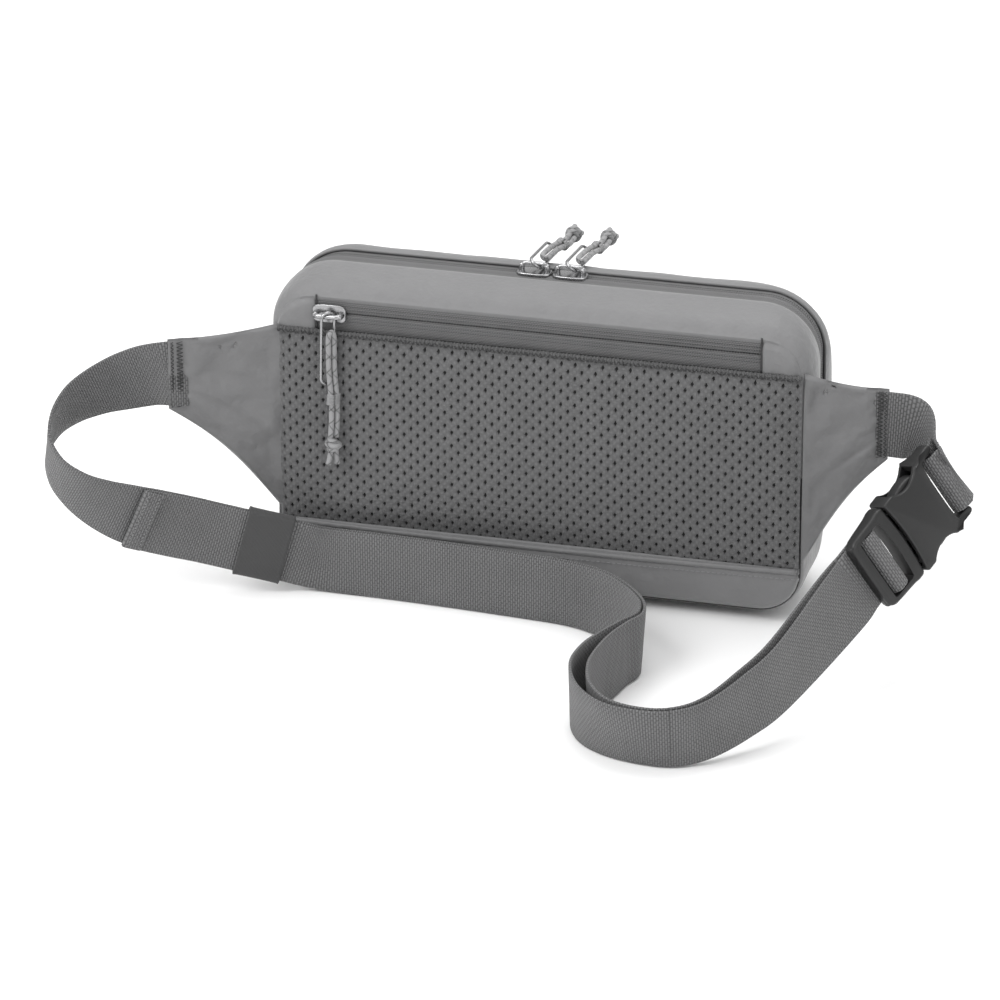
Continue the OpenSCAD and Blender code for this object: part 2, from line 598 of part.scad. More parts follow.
on_top_zip(main_left_x) mirror([1, 0, 0]) slider();  // main_slider_left
on_top_zip(main_right_x) slider();  // main_slider_right
on_back_zip(back_slider_x) slider();  // back_slider
on_front_zip(front_slider_x) slider();  // front_slider
place_pull("left") ring();  // main_ring_left
place_pull("right") ring();  // main_ring_right
place_pull("back") ring();  // back_ring
place_pull("front") ring();  // front_ring
place_pull("left") pull_cord();  // main_cord_left
place_pull("right") pull_cord();  // main_cord_right
place_pull("back") pull_cord();  // back_cord
place_pull("front") pull_cord();  // front_cord
place_pull("left") pull_knot();  // main_knot_left
place_pull("right") pull_knot();  // main_knot_right
place_pull("back") pull_knot();  // back_knot
place_pull("front") pull_knot();  // front_knot
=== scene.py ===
# %% [markdown]
# # A waist pack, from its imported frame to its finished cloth
# The frame holds the plain solids of the pack: where every piece is, how large it is and how it moves.
# Blender adds what cloth, webbing, mesh, metal and moulded plastic look like. Everything is in metres:
# X runs along the back panel, Y goes from the wearer to the front pocket, and Z is up.

# %% Load the frame
import json
import math
import random

import bpy
import bmesh
from mathutils import Matrix, Vector, noise


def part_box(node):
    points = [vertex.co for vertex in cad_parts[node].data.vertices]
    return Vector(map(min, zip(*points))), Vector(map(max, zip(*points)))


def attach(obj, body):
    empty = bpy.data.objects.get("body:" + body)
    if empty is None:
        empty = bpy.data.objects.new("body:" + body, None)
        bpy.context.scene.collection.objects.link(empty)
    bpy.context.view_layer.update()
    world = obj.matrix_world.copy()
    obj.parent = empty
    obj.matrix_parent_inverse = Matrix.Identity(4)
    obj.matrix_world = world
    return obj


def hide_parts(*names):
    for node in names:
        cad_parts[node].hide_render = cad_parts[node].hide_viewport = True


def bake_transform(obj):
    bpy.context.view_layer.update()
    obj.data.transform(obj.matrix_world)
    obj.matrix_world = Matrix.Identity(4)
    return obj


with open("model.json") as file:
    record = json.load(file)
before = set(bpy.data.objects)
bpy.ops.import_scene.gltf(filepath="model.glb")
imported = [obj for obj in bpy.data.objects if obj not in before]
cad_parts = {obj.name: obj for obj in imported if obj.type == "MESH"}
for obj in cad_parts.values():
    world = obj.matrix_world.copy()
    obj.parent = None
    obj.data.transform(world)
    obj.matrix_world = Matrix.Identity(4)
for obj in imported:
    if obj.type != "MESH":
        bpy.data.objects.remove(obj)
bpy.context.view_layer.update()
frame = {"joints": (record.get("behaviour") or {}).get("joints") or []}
random.seed(7)
mm = 0.001
joint = {j["name"]: j for j in frame["joints"]}

# %% [markdown]
# ## The main sizes
# Every piece below starts from the boxes of the plain solids, so a panel that moves in the frame moves here
# too.

# %% Read the boxes
def box(node):
    """Lowest and highest corner of a CAD node, as vectors."""
    low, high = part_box(node)
    return Vector(low), Vector(high)

panel_low, panel_high = box("back_panel")
pad_low, pad_high = box("back_mesh_pad")
front_low, front_high = box("front_panel")
pocket_low, pocket_high = box("front_pocket")
top_z = box("main_zip_tape_back")[1].z
back_y = panel_low.y
front_y = front_low.y
half_w = panel_high.x
print("body", round(2 * half_w / mm), "x", round((pocket_high.y - back_y) / mm), "x", round(top_z / mm), "mm")

# %% [markdown]
# ## Camera
# A long lens from a little above, about fifteen degrees to the right of the back panel, shows the mesh back,
# the top zip and the belt on the ground in front. The lens is long, so parallel edges stay almost parallel.

# %% Set up the camera
target = Vector((-27.3, 7.0, 30.7)) * mm
place = Vector((658.8, -2646, 1250.8)) * mm
camera_data = bpy.data.cameras.new("camera")
camera_data.lens = 229
camera_data.sensor_width = 36
camera_data.clip_end = 50
camera = bpy.data.objects.new("camera", camera_data)
camera.location = place
camera.rotation_euler = (target - place).to_track_quat("-Z", "Y").to_euler()
bpy.context.scene.collection.objects.link(camera)
bpy.context.scene.camera = camera
print("camera", [round(v, 3) for v in place])

# %% [markdown]
# ## Helpers for cloth
# Cloth, webbing and cord are grids of points with a map that is measured in metres, so that a weave has its
# real scale on every piece. `sheet_mesh` makes such a grid, closed or open in either direction.

# %% A grid of points with a map in metres
def sheet_mesh(name, rows, around=False, caps=False, smooth=True, u_of=None, v_of=None):
    """rows: lists of points. The map runs along a row (u) and from row to row (v), in metres."""
    n, m = len(rows[0]), len(rows)
    points = [Vector(p) for row in rows for p in row]
    cols = n if around else n - 1
    faces, maps = [], []
    us = [0.0]
    mid = rows[m // 2]
    for i in range(n if around else n - 1):
        us.append(us[-1] + (Vector(mid[(i + 1) % n]) - Vector(mid[i])).length)
    vs = [0.0]
    for j in range(m - 1):
        a, b = rows[j], rows[j + 1]
        vs.append(vs[-1] + sum((Vector(a[i]) - Vector(b[i])).length for i in (0, n // 2, n - 1)) / 3)
    us = u_of or us
    vs = v_of or vs
    for j in range(m - 1):
        for i in range(cols):
            k = (i + 1) % n
            faces.append((j * n + i, j * n + k, (j + 1) * n + k, (j + 1) * n + i))
            maps += [(us[i], vs[j]), (us[i + 1], vs[j]), (us[i + 1], vs[j + 1]), (us[i], vs[j + 1])]
    if caps:
        for j, order in ((0, range(n - 1, -1, -1)), (m - 1, range(n))):
            faces.append(tuple(j * n + i for i in order))
            maps += [(us[i], vs[j]) for i in order]
    mesh = bpy.data.meshes.new(name)
    mesh.from_pydata(points, [], faces)
    layer = mesh.uv_layers.new(name="cloth")
    layer.data.foreach_set("uv", [c for pair in maps for c in pair])
    mesh.polygons.foreach_set("use_smooth", [smooth] * len(faces))
    obj = bpy.data.objects.new(name, mesh)
    bpy.context.scene.collection.objects.link(obj)
    return obj

# %% Choosing one object and applying its modifiers
def only(obj):
    """Selects obj alone and makes it active."""
    if bpy.context.object and bpy.context.object.mode != "OBJECT":
        bpy.ops.object.mode_set(mode="OBJECT")
    bpy.ops.object.select_all(action="DESELECT")
    obj.select_set(True)
    bpy.context.view_layer.objects.active = obj

def face_out(obj, weld=None):
    """Turns every face outward, after merging points closer than weld metres."""
    only(obj)
    bpy.ops.object.mode_set(mode="EDIT")
    bpy.ops.mesh.select_all(action="SELECT")
    if weld:
        bpy.ops.mesh.remove_doubles(threshold=weld)
    bpy.ops.mesh.normals_make_consistent(inside=False)
    bpy.ops.object.mode_set(mode="OBJECT")

def add_modifier(obj, kind, **settings):
    """Adds a modifier with these settings and applies it at once."""
    only(obj)
    mod = obj.modifiers.new(kind.lower(), kind)
    for key, value in settings.items():
        setattr(mod, key, value)
    bpy.ops.object.modifier_apply(modifier=mod.name)
    return obj

def thicken(obj, t, levels=0):
    """Gives a sheet its thickness, inwards, and smooths it."""
    add_modifier(obj, "SOLIDIFY", thickness=t, offset=-1, use_even_offset=False)
    if levels:
        add_modifier(obj, "SUBSURF", levels=levels, render_levels=levels)
    return obj

def join(name, parts):
    """Joins objects into one piece."""
    only(parts[0])
    for p in parts[1:]:
        p.select_set(True)
    bpy.ops.object.join()
    parts[0].name = name
    return parts[0]

# %% [markdown]
# Small waves make cloth look like cloth. `ripple` is smooth noise with a size in millimetres, always the same
# for the same place, so the pack looks the same each time it is made.

# %% Smooth noise, steps and curves
def ripple(p, size, seed=0.0):
    """Smooth noise from -1 to 1 with features of about size metres."""
    return noise.noise(Vector(p) / size + Vector((seed, seed * 1.7, -seed)))

def ease(a, b, x):
    """0 below a, 1 above b, smooth between."""
    t = min(1.0, max(0.0, (x - a) / (b - a)))
    return t * t * (3 - 2 * t)

def curve_through(points, steps):
    """A smooth curve through places or directions (Catmull-Rom)."""
    pts = [Vector(p) for p in points]
    out = []
    for i in range(len(pts) - 1):
        a, b, c, d = pts[max(i - 1, 0)], pts[i], pts[i + 1], pts[min(i + 2, len(pts) - 1)]
        for s in range(steps):
            t = s / steps
            out.append(0.5 * (2 * b + (c - a) * t + (2 * a - 5 * b + 4 * c - d) * t * t
                + (3 * b - a - 3 * c + d) * t ** 3))
    return out + [pts[-1]]

def even(points, step):
    """The same line with its points about step apart."""
    pts = [Vector(p) for p in points]
    runs = [0.0]
    for a, b in zip(pts, pts[1:]):
        runs.append(runs[-1] + (b - a).length)
    count = max(2, round(runs[-1] / step) + 1)
    out, k = [], 0
    for i in range(count):
        s = runs[-1] * i / (count - 1)
        while k < len(pts) - 2 and runs[k + 1] < s:
            k += 1
        f = (s - runs[k]) / max(runs[k + 1] - runs[k], 1e-9)
        out.append(pts[k].lerp(pts[k + 1], f))
    return out

def way(points, i):
    """Direction of a line at its i-th point."""
    return (points[min(i + 1, len(points) - 1)] - points[max(i - 1, 0)]).normalized()

# %% [markdown]
# A round tube with a map along its length serves for cords, piping and rolled edges. Its rings turn as little
# as possible from one to the next, so a braid does not twist.

# %% A tube along a line
def tube(name, points, radius, sides=12, caps=True):
    """A tube; radius is one number or one for each point."""
    rows, side = [], None
    for i, p in enumerate(points):
        t = way(points, i)
        side = side - t * side.dot(t) if side else t.orthogonal()
        side.normalize()
        up = t.cross(side)
        r = radius[i] if hasattr(radius, "__len__") else radius
        rows.append([p + r * (math.cos(a) * side + math.sin(a) * up)
            for a in (2 * math.pi * k / sides for k in range(sides))])
    return sheet_mesh(name, rows, around=True, caps=caps)

# %% [markdown]
# Stitches are modelled, not painted: a short, slightly raised stroke of thread, copied along the seam. The same
# strokes, laid from side to side, make the dense zigzag that holds webbing or an edge.

# %% Strokes of thread
def smooth_object(name, verts, faces):
    """A smooth-shaded object in the scene, from points and faces."""
    mesh = bpy.data.meshes.new(name)
    mesh.from_pydata(verts, [], faces)
    mesh.polygons.foreach_set("use_smooth", [True] * len(faces))
    obj = bpy.data.objects.new(name, mesh)
    bpy.context.scene.collection.objects.link(obj)
    return obj

def strokes(name, pairs, normals, thick=0.5, lift=0.1):
    """A thread between each pair of points; thick and lift in millimetres."""
    verts, faces = [], []
    for a, b in pairs:
        t = (b - a).normalized()
        n = Vector(normals(a)) if callable(normals) else Vector(normals)
        side = t.cross(n).normalized()
        up = side.cross(t).normalized()
        c, half, r = (a + b) / 2 + up * lift * mm, (b - a).length / 2, thick * mm / 2
        k = len(verts)
        verts += [c - t * half - up * r * 0.4, c + t * half - up * r * 0.4]
        for s in (-0.5, 0.5):
            for turn in (0, 90, 180, 270):
                verts.append(c + t * half * s + r
                    * (math.cos(math.radians(turn)) * side + math.sin(math.radians(turn)) * up))
        for q in range(4):
            w = (q + 1) % 4
            faces += [(k, k + 2 + w, k + 2 + q), (k + 2 + q, k + 2 + w, k + 6 + w, k + 6 + q),
                (k + 1, k + 6 + q, k + 6 + w)]
    return smooth_object(name, verts, faces)

def stitches(name, points, normals, pitch=2.4, length=1.8, thick=0.5, lift=0.1):
    """A row of stitches along a line; sizes in millimetres."""
    line = even(points, pitch * mm)
    pairs = []
    for i, p in enumerate(line[:-1]):
        t = way(line, i)
        c = p + t * pitch * mm / 2
        pairs.append((c - t * length * mm / 2, c + t * length * mm / 2))
    return strokes(name, pairs, normals, thick, lift)

def zigzag(name, points, normals, width=3.6, pitch=0.9, thick=0.5, lift=0.1):
    """Dense side-to-side stitching along a line; sizes in millimetres."""
    line = even(points, pitch * mm)
    edge = []
    for i, p in enumerate(line):
        n = Vector(normals(p)) if callable(normals) else Vector(normals)
        side = way(line, i).cross(n).normalized()
        edge.append(p + side * width * mm / 2 * (1 if i % 2 else -1))
    return strokes(name, list(zip(edge, edge[1:])), normals, thick, lift)

# %% [markdown]
# ## Finishes
# One small class wraps a socket, so that shader maths reads like ordinary arithmetic, and one method adds any
# other node. A finish is a Principled shader whose colour, roughness and bump come from such expressions.

# %% Sockets as numbers
class Wire:
    """A changing value in a finish. Arithmetic on it adds Math nodes."""
    def __init__(self, finish, socket):
        self.finish, self.socket = finish, socket
    def math(self, kind, *inputs):
        return self.finish.node("ShaderNodeMath", {"operation": kind}, dict(enumerate(inputs)))
    def __add__(self, other): return self.math("ADD", self, other)
    __radd__ = __add__
    def __mul__(self, other): return self.math("MULTIPLY", self, other)
    __rmul__ = __mul__
    def __sub__(self, other): return self.math("SUBTRACT", self, other)
    def __rsub__(self, other): return self.math("SUBTRACT", other, self)
    def __truediv__(self, other): return self.math("DIVIDE", self, other)
    def __pow__(self, other): return self.math("POWER", self, other)
    def sin(self): return self.math("SINE", self)
    def abs(self): return self.math("ABSOLUTE", self)
    def fract(self): return self.math("FRACT", self)
    def floor(self): return self.math("FLOOR", self)
    def max(self, other): return self.math("MAXIMUM", self, other)
    def min(self, other): return self.math("MINIMUM", self, other)
    def step(self, low, high):
        """0 below low, 1 above high, smooth between."""
        return self.finish.node("ShaderNodeMapRange", {"interpolation_type": "SMOOTHSTEP"},
            {"Value": self, "From Min": low, "From Max": high})

class Finish:
    """A material built from expressions."""
    def __init__(self, name, **uniform):
        self.material = bpy.data.materials.new(name)
        self.material.use_nodes = True
        self.tree = self.material.node_tree
        self.shader = self.tree.nodes["Principled BSDF"]
        for key, value in uniform.items():
            self.shader.inputs[key.replace("_", " ")].default_value = value
    def node(self, kind, settings=None, inputs=None, out=0):
        n = self.tree.nodes.new(kind)
        for key, value in (settings or {}).items():
            if key == "stops":
                ramp = n.color_ramp
                while len(ramp.elements) < len(value):
                    ramp.elements.new(0.5)
                for e, (at, shade) in zip(ramp.elements, value):
                    e.position, e.color = at, (shade, shade, shade, 1) if not hasattr(shade,
                        "__len__") else (*shade, 1)
            else:
                setattr(n, key, value)
        for key, value in (inputs or {}).items():
            if isinstance(value, Wire):
                self.tree.links.new(value.socket, n.inputs[key])
            else:
                n.inputs[key].default_value = value
        return Wire(self, n.outputs[out])
    def link(self, name, wire):
        self.tree.links.new(wire.socket, self.shader.inputs[name])
    def cloth_map(self, scale=1000.0):
        """u and v of the cloth, in millimetres."""
        uv = self.node("ShaderNodeUVMap", {"uv_map": "cloth"})
        parts = self.tree.nodes.new("ShaderNodeSeparateXYZ")
        self.tree.links.new(uv.socket, parts.inputs[0])
        return Wire(self, parts.outputs[0]) * scale, Wire(self, parts.outputs[1]) * scale
    def place(self):
        return self.node("ShaderNodeTexCoord", out=3)
    def noise(self, size_mm, detail=2.0, rough=0.5, at=None):
        """Noise from 0 to 1 with features of size_mm."""
        return self.node("ShaderNodeTexNoise", {},
            {"Vector": at or self.place(), "Scale": 1000 / size_mm, "Detail": detail, "Roughness": rough})
    def mix(self, factor, a, b):
        """A colour between a and b."""
        n = self.tree.nodes.new("ShaderNodeMix")
        n.data_type = "RGBA"
        for socket, value in ((n.inputs[0], factor), (n.inputs[6], a), (n.inputs[7], b)):
            if isinstance(value, Wire):
                self.tree.links.new(value.socket, socket)
            else:
                socket.default_value = value if not hasattr(value, "__len__") else (*value, 1)
        return Wire(self, n.outputs[2])
    def bump(self, height, depth_mm, strength=1.0, under=None):
        inputs = {"Height": height, "Distance": depth_mm * mm, "Strength": strength}
        if under:
            inputs["Normal"] = under
        return self.node("ShaderNodeBump", {}, inputs)

def grey(v):
    return (v, v, v * 1.015)

def paint(obj, finish):
    """Gives a piece one finish."""
    obj.data.materials.clear()
    obj.data.materials.append(finish.material)
    return obj

# %% [markdown]
# ### Shell nylon
# The shell is a light, closely woven nylon with a dull coating. Close up it is a plain weave of threads about
# 0.4 mm apart; from further off, what shows is a soft sheen and faint cloudiness where the cloth has creased.
# A darker copy of the same nylon is painted shade on the wings and the bound seams.

# %% Shell nylon
def make_nylon(name, shade):
    f = Finish(name, IOR=1.45, Sheen_Weight=0.25, Sheen_Roughness=0.45)
    u, v = f.cloth_map()
    threads = (u * (math.pi / 0.42)).sin() * (v * (math.pi / 0.42)).sin()
    cloud = f.noise(14, 3, 0.55)
    crease = f.noise(5, 2, 0.5)
    fine = f.noise(0.5, 2, 0.6)
    f.link("Base Color", f.mix(cloud * 0.75 + fine * 0.25, grey(shade * 0.86), grey(shade * 1.12)))
    f.link("Roughness", 0.46 + cloud * 0.16)
    folds = f.bump(crease, 0.75, 0.9)
    f.link("Normal", f.bump(threads * 0.5 + 0.5, 0.05, 0.5, folds))
    return f

nylon = make_nylon("shell_nylon", 0.16)
# A darker copy of the same shell nylon, for the wings and the seam rolls: painted shade.
nylon_painted_shade = make_nylon("nylon_shaded_copy", 0.142)
print("shell nylon made")

# %% [markdown]
# ### Spacer mesh
# The back is knitted spacer mesh: rows of small diamond holes, each row offset by half a pitch, with slanted
# bundles of yarn between them. The holes are modelled in the mesh's grid, and the finish adds the slant of the
# yarn. It paints the holes nearly black as painted shade and the raised bundles of yarn lighter as painted
# highlight.

# %% Spacer mesh
hole_pitch = 6.5 * mm
hole_rows = 3.3 * mm
hole_half_w, hole_half_h = 0.95 * mm, 1.5 * mm

def make_spacer(shade):
    f = Finish("spacer_mesh", IOR=1.45, Sheen_Weight=0.3, Sheen_Roughness=0.5)
    u, v = f.cloth_map(1.0)
    a = u / hole_pitch
    b = v / (2 * hole_rows)
    def holes(shift):
        x = ((a + shift).fract() - 0.5).abs() * 2
        y = ((b + shift).fract() - 0.5).abs() * 2
        return x * (hole_pitch / 2 / hole_half_w) + y * (hole_rows / hole_half_h)
    d = holes(0.0).min(holes(0.5))
    hole = 1 - d.step(0.72, 1.08)
    yarn = ((u + v * 1.02) * (math.pi / (0.8 * mm))).sin() * ((u - v * 1.02) * (math.pi / (0.8 * mm))).sin()
    cross = (((u + v * 0.98) / (hole_pitch / 2)).fract()
        - 0.5).abs() * ((((u - v * 0.98) / (hole_pitch / 2)).fract() - 0.5).abs()) * 4
    cloud = f.noise(9, 2)
    # Painted highlight on the raised yarn bundles, and painted shade (nearly black) in the holes.
    light = f.mix(cross * 0.55 + cloud * 0.45, grey(shade * 0.72), grey(shade * 1.5))
    f.link("Base Color", f.mix(hole, light, grey(0.003)))
    f.link("Roughness", 0.72 + cloud * 0.12)
    f.link("Normal", f.bump(yarn * 0.2 + cross * 0.9 - hole * 1.0, 0.45, 0.8))
    return f

spacer = make_spacer(0.095)
print("spacer mesh made")

# %% [markdown]
# ### Webbing, elastic and zip tape
# Webbing shows ribs across it, each made of plump little stitches of yarn: a grid about 2.5 mm by 1.15 mm,
# every other row set off by half. The finish paints the gaps between the stitches darker and their tops
# lighter, as painted shade and painted highlight. Elastic is the same thing much finer, and a zip's tape is a
# fine herringbone.

# %% Webbing and elastic
def make_webbing(name, shade, along, across, depth, stitch_shading):
    f = Finish(name, IOR=1.45, Sheen_Weight=0.15, Sheen_Roughness=0.5)
    u, v = f.cloth_map()
    row = (v / along).floor()
    shift = (row * 0.5).fract()
    x = ((u / across + shift).fract() - 0.5).abs() * 2
    y = ((v / along).fract() - 0.5).abs() * 2
    plump = (1 - x ** 4.0) * (1 - y ** 1.7)
    cloud = f.noise(18, 2)
    fleck = f.noise(0.9, 2, 0.7)
    # Painted shade in the gaps between the stitches and painted highlight on their tops, following plump.
    low, high = grey(shade * (1 - stitch_shading)), grey(shade * (1 + stitch_shading * 0.6))
    f.link("Base Color", f.mix(plump * 0.75 + fleck * 0.25 + cloud * 0.2 - 0.1, low, high))
    f.link("Roughness", 0.62 + fleck * 0.16)
    f.link("Normal", f.bump(plump + fleck * 0.25, depth, 0.9))
    return f

webbing = make_webbing("belt_webbing", 0.125, 1.15, 2.5, 0.45, 0.72)
elastic = make_webbing("keeper_elastic", 0.045, 0.62, 0.7, 0.12, 0.45)
tape = make_webbing("zip_tape_weave", 0.115, 0.8, 1.3, 0.2, 0.7)
lining = make_webbing("lining_cloth", 0.2, 0.35, 0.35, 0.03, 0.2)
print("webbing, elastic, tape and lining made")

# %% [markdown]
# ### Small materials
# Stitching thread and zip coil are slightly shiny nylon. Hardware is cast metal with a dark nickel plate: its
# colour changes a little where plating is thin. The buckle is moulded acetal with a spark-eroded texture.

# %% Thread, coil, metal, plastic, foam
def make_plain(name, shade, rough, size, depth, vary=0.15, **uniform):
    f = Finish(name, **uniform)
    n = f.noise(size, 3, 0.6)
    wide = f.noise(size * 20, 2)
    f.link("Base Color", f.mix(wide * 0.6 + n * 0.4, grey(shade * (1 - vary)), grey(shade * (1 + vary))))
    f.link("Roughness", rough - 0.06 + n * 0.12)
    f.link("Normal", f.bump(n, depth, 0.6))
    return f

thread = make_plain("sewing_thread", 0.19, 0.6, 0.3, 0.05, Sheen_Weight=0.2)
# Dark thread for stitches; the same finish is also painted shadow along the seams and the corner patches'
# folds.
dark_thread_and_shadow = make_plain("dark_thread_and_painted_shadow", 0.03, 0.65, 0.3, 0.05)
coil_finish = make_plain("zip_coil_nylon", 0.06, 0.45, 0.4, 0.03)
metal = make_plain("dark_nickel", 0.34, 0.27, 0.6, 0.01, 0.18, Metallic=1.0)
plastic = make_plain("moulded_acetal", 0.011, 0.42, 0.25, 0.03, 0.25, IOR=1.48)
foam_finish = make_plain("foam_board", 0.6, 0.95, 0.5, 0.2)
print("small finishes made")

# %% [markdown]
# ### Flecked cord
# The pull cords are a braided sleeve about 2.6 mm thick: pale grey with short black flecks where two dark
# strands of the braid come to the surface. The map runs round the cord and along it, so the braid follows it.

# %% Flecked cord
def make_cord():
    f = Finish("flecked_cord", IOR=1.45, Sheen_Weight=0.2)
    u, v = f.cloth_map()
    a = ((u / 0.74 + v / 0.95).fract() - 0.5).abs() * 2
    b = ((u / 0.74 - v / 0.95).fract() - 0.5).abs() * 2
    braid = (1 - a ** 2.0).max(1 - b ** 2.0)
    band = ((u / 8.17 - v / 6.5).fract() - 0.5).abs() * 2
    band2 = ((u / 8.17 + v / 9.0 + 0.35).fract() - 0.5).abs() * 2
    fleck = ((1 - band.step(0.1, 0.16)) * (1 - a.step(0.45, 0.6))).max((1 - band2.step(0.07, 0.13))
        * (1 - b.step(0.4, 0.55)))
    # The gaps between the braid's strands are painted darker than the strands: painted shade. The black flecks
    # are the dark strands' own colour.
    f.link("Base Color", f.mix(fleck, f.mix(braid, grey(0.09), grey(0.3)), grey(0.02)))
    f.link("Roughness", 0.6 + braid * 0.1)
    f.link("Normal", f.bump(braid, 0.22, 0.9))
    return f

flecked = make_cord()
print("flecked cord made")

# %% [markdown]
# ## Pull cords
# Each zip pull is a length of flecked cord folded in two: its fold sits in the wire ring near the slider, both
# strands run along the ring, and they end in an overhand knot. The cord is limp but held straight by its own
# short length. Its route is the one its plain solid follows, in millimetres from the ring's near end.

# %% The cord's route
pulls = {"back": "pull_back", "front": "pull_front", "left": "pull_left", "right": "pull_right"}
ring_of = {"back": "back_ring", "front": "front_ring", "left": "main_ring_left", "right": "main_ring_right"}
cord_of = {k: v.replace("ring", "cord") for k, v in ring_of.items()}
knot_of = {k: v.replace("ring", "knot") for k, v in ring_of.items()}
ring_l, ring_w, wire_d, cord_d = 36.0, 8.0, 1.5, 2.6
cord_lift = wire_d / 2 + cord_d / 2 + 0.15
strand = cord_d / 2 + 0.1
side_x = [ring_l + 25, ring_l + 16, ring_l + 8, ring_l, ring_l - 8, ring_l - 18, 12]
side_y = [3, 3.4, 3, 2, 1.2, 0.9, 0.8]
side_z = [0.8, 0.9, 1.4, cord_lift, cord_lift, cord_lift, cord_lift]
cord_route = [(x, y + strand, z) for x, y, z in zip(side_x, side_y, side_z)]
cord_route += [(9.8, side_y[6] + strand * 0.7, cord_lift), (8.9, side_y[6], cord_lift),
    (9.8, side_y[6] - strand * 0.7, cord_lift)]
cord_route += [(x, y - strand, z) for x, y, z in reversed(list(zip(side_x, side_y, side_z)))]

# %% [markdown]
# A pull's own frame is found from its hinge: the hinge's point lies on the slider's bridge, and the pull's
# direction is known for each zip. `Matrix` columns are the pull's length, its width and its normal.

# %% The frame of each pull
bridge_r, twist = 1.1, math.radians(40)
reach = bridge_r + wire_d / 2 + 0.2

def pull_frame(which):
    """Matrix from a pull's millimetres to metres in the row frame."""
    pivot = Vector(joint[pulls[which] + "_swing"]["pos_m"])
    lean = math.radians(4 if which in ("back", "front") else -7)
    local = Matrix.Rotation(-lean, 4, "X") @ Matrix.Rotation(-math.pi / 2, 4, "Z") @ Matrix.Rotation(-twist, 4,
        "X") @ Matrix.Translation((-reach, 0, 0))
    flip = Matrix.Diagonal((1, -1, 1, 1))
    outward = {"back": Matrix.Rotation(math.pi / 2, 4, "X"),
        "front": Matrix.Rotation(-math.pi / 2, 4, "X") @ flip}.get(which, flip)
    return Matrix.Translation(pivot) @ outward @ Matrix.Scale(mm, 4) @ local

# %% Make the cords
cord_pieces = {}
for which in ("back", "left", "right", "front"):
    m = pull_frame(which)
    line = [m @ p for p in curve_through(cord_route, 4)]
    cord = tube(cord_of[which] + "_braid", line, cord_d / 2 * mm, 12)
    paint(cord, flecked)
    length = sum((a - b).length for a, b in zip(line, line[1:]))
    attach(cord, pulls[which])
    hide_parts(cord_of[which])
    cord_pieces[which] = (cord, line, length)
    print(which, "cord", round(length / mm), "mm")

# %% [markdown]
# The two strands are whipped together with thin thread just past the ring, and end in an overhand knot. The
# knot is a cord wound twice round the pair, with two short ends, so it is modelled as a tube on a knotted line.

# %% Knots and whippings
def knot_line(r=2.1, n=60):
    """An overhand knot's line, in millimetres, pulled tight along X."""
    out = []
    for i in range(n + 1):
        t = -1 + 2 * i / n
        a = t * math.pi * 2.15
        tight = 1 - 0.25 * abs(t)
        out.append(Vector((3.4 + 3.6 * math.sin(a * 0.5) * (1 - 0.2 * abs(t)) * 0.7, r * tight * math.cos(a),
            r * tight * math.sin(a) * (1 + 0.15 * math.cos(a * 0.5)))))
    return out

for which in pulls:
    m = pull_frame(which) @ Matrix.Translation((side_x[0], side_y[0], side_z[0]))
    wound = tube("wound", [m @ p for p in knot_line()], 1.25 * mm, 10)
    band = tube("band", [m @ Vector((3.4 + 0.4 * math.cos(a), 2.9 * math.cos(a + 0.6),
        2.9 * math.sin(a + 0.6))) for a in [2 * math.pi * k / 36 for k in range(37)]], 1.2 * mm, 10)
    ends = []
    for s in (-1, 1):
        pts = curve_through([(4.5, 1.0 * s, 0), (8, 1.5 * s, 0.1), (11, 1.9 * s, -0.1),
            (13.2, 2.2 * s, -0.3)], 5)
        ends.append(tube("end", [m @ p for p in pts],
            [r * mm for r in [1.25] * (len(pts) - 4) + [1.25, 1.3, 1.4, 1.2]], 10))
    knot = join(knot_of[which] + "_tied", [wound, band] + ends)
    paint(knot, flecked)
    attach(knot, pulls[which])
    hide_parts(knot_of[which])
    cord, line, length = cord_pieces[which]
    m = pull_frame(which)
    whip = []
    for k in range(7):
        c = Vector((ring_l + 3.6 + 0.75 * k, 2.55, 1.75 - 0.06 * k))
        ring = [m @ (c + Vector((0, 3.0 * math.cos(a), 1.75 * math.sin(a))))
            for a in [2 * math.pi * q / 24 for q in range(25)]]
        whip.append(tube("turn", ring, 0.4 * mm, 6, caps=False))
    whipping = join(cord_of[which] + "_whipping", whip)
    paint(whipping, flecked)
    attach(whipping, pulls[which])
    tuple(line[0])
    [tuple(p) for p in line]
print("knots and whippings made")

# %% [markdown]
# ## The pack's outline
# Seen from the back, the pack is a long rectangle with round corners. From back to front its outline grows a
# little and then shrinks again, and the top corners get rounder towards the front. The same list of outlines as
# the plain solid's gives every cloth panel its place, so the panels meet at their seams.

# %% Outlines from back to front
# y, half width, low z, high z, upper radius, lower radius, in metres
low_seam, high_seam = panel_low.z, panel_high.z
outlines = [
    (back_y, half_w, low_seam, high_seam, 0.018, 0.020),
    (back_y + 0.006, half_w + 0.0013, 0.0025, top_z - 0.0045, 0.021, 0.023),
    (back_y + 0.014, half_w + 0.002, 0.0006, top_z - 0.0018, 0.024, 0.026),
    (-0.009, half_w + 0.002, 0.0, top_z, 0.026, 0.028),
    (0.009, half_w + 0.002, 0.0, top_z, 0.028, 0.028),
    (0.017, half_w + 0.0015, 0.0, top_z - 0.0025, 0.032, 0.030),
    (front_y - 0.005, half_w + 0.0003, 0.0015, top_z - 0.008, 0.038, 0.033),
    (front_y, half_w - 0.002, 0.005, top_z - 0.014, 0.042, 0.034)]

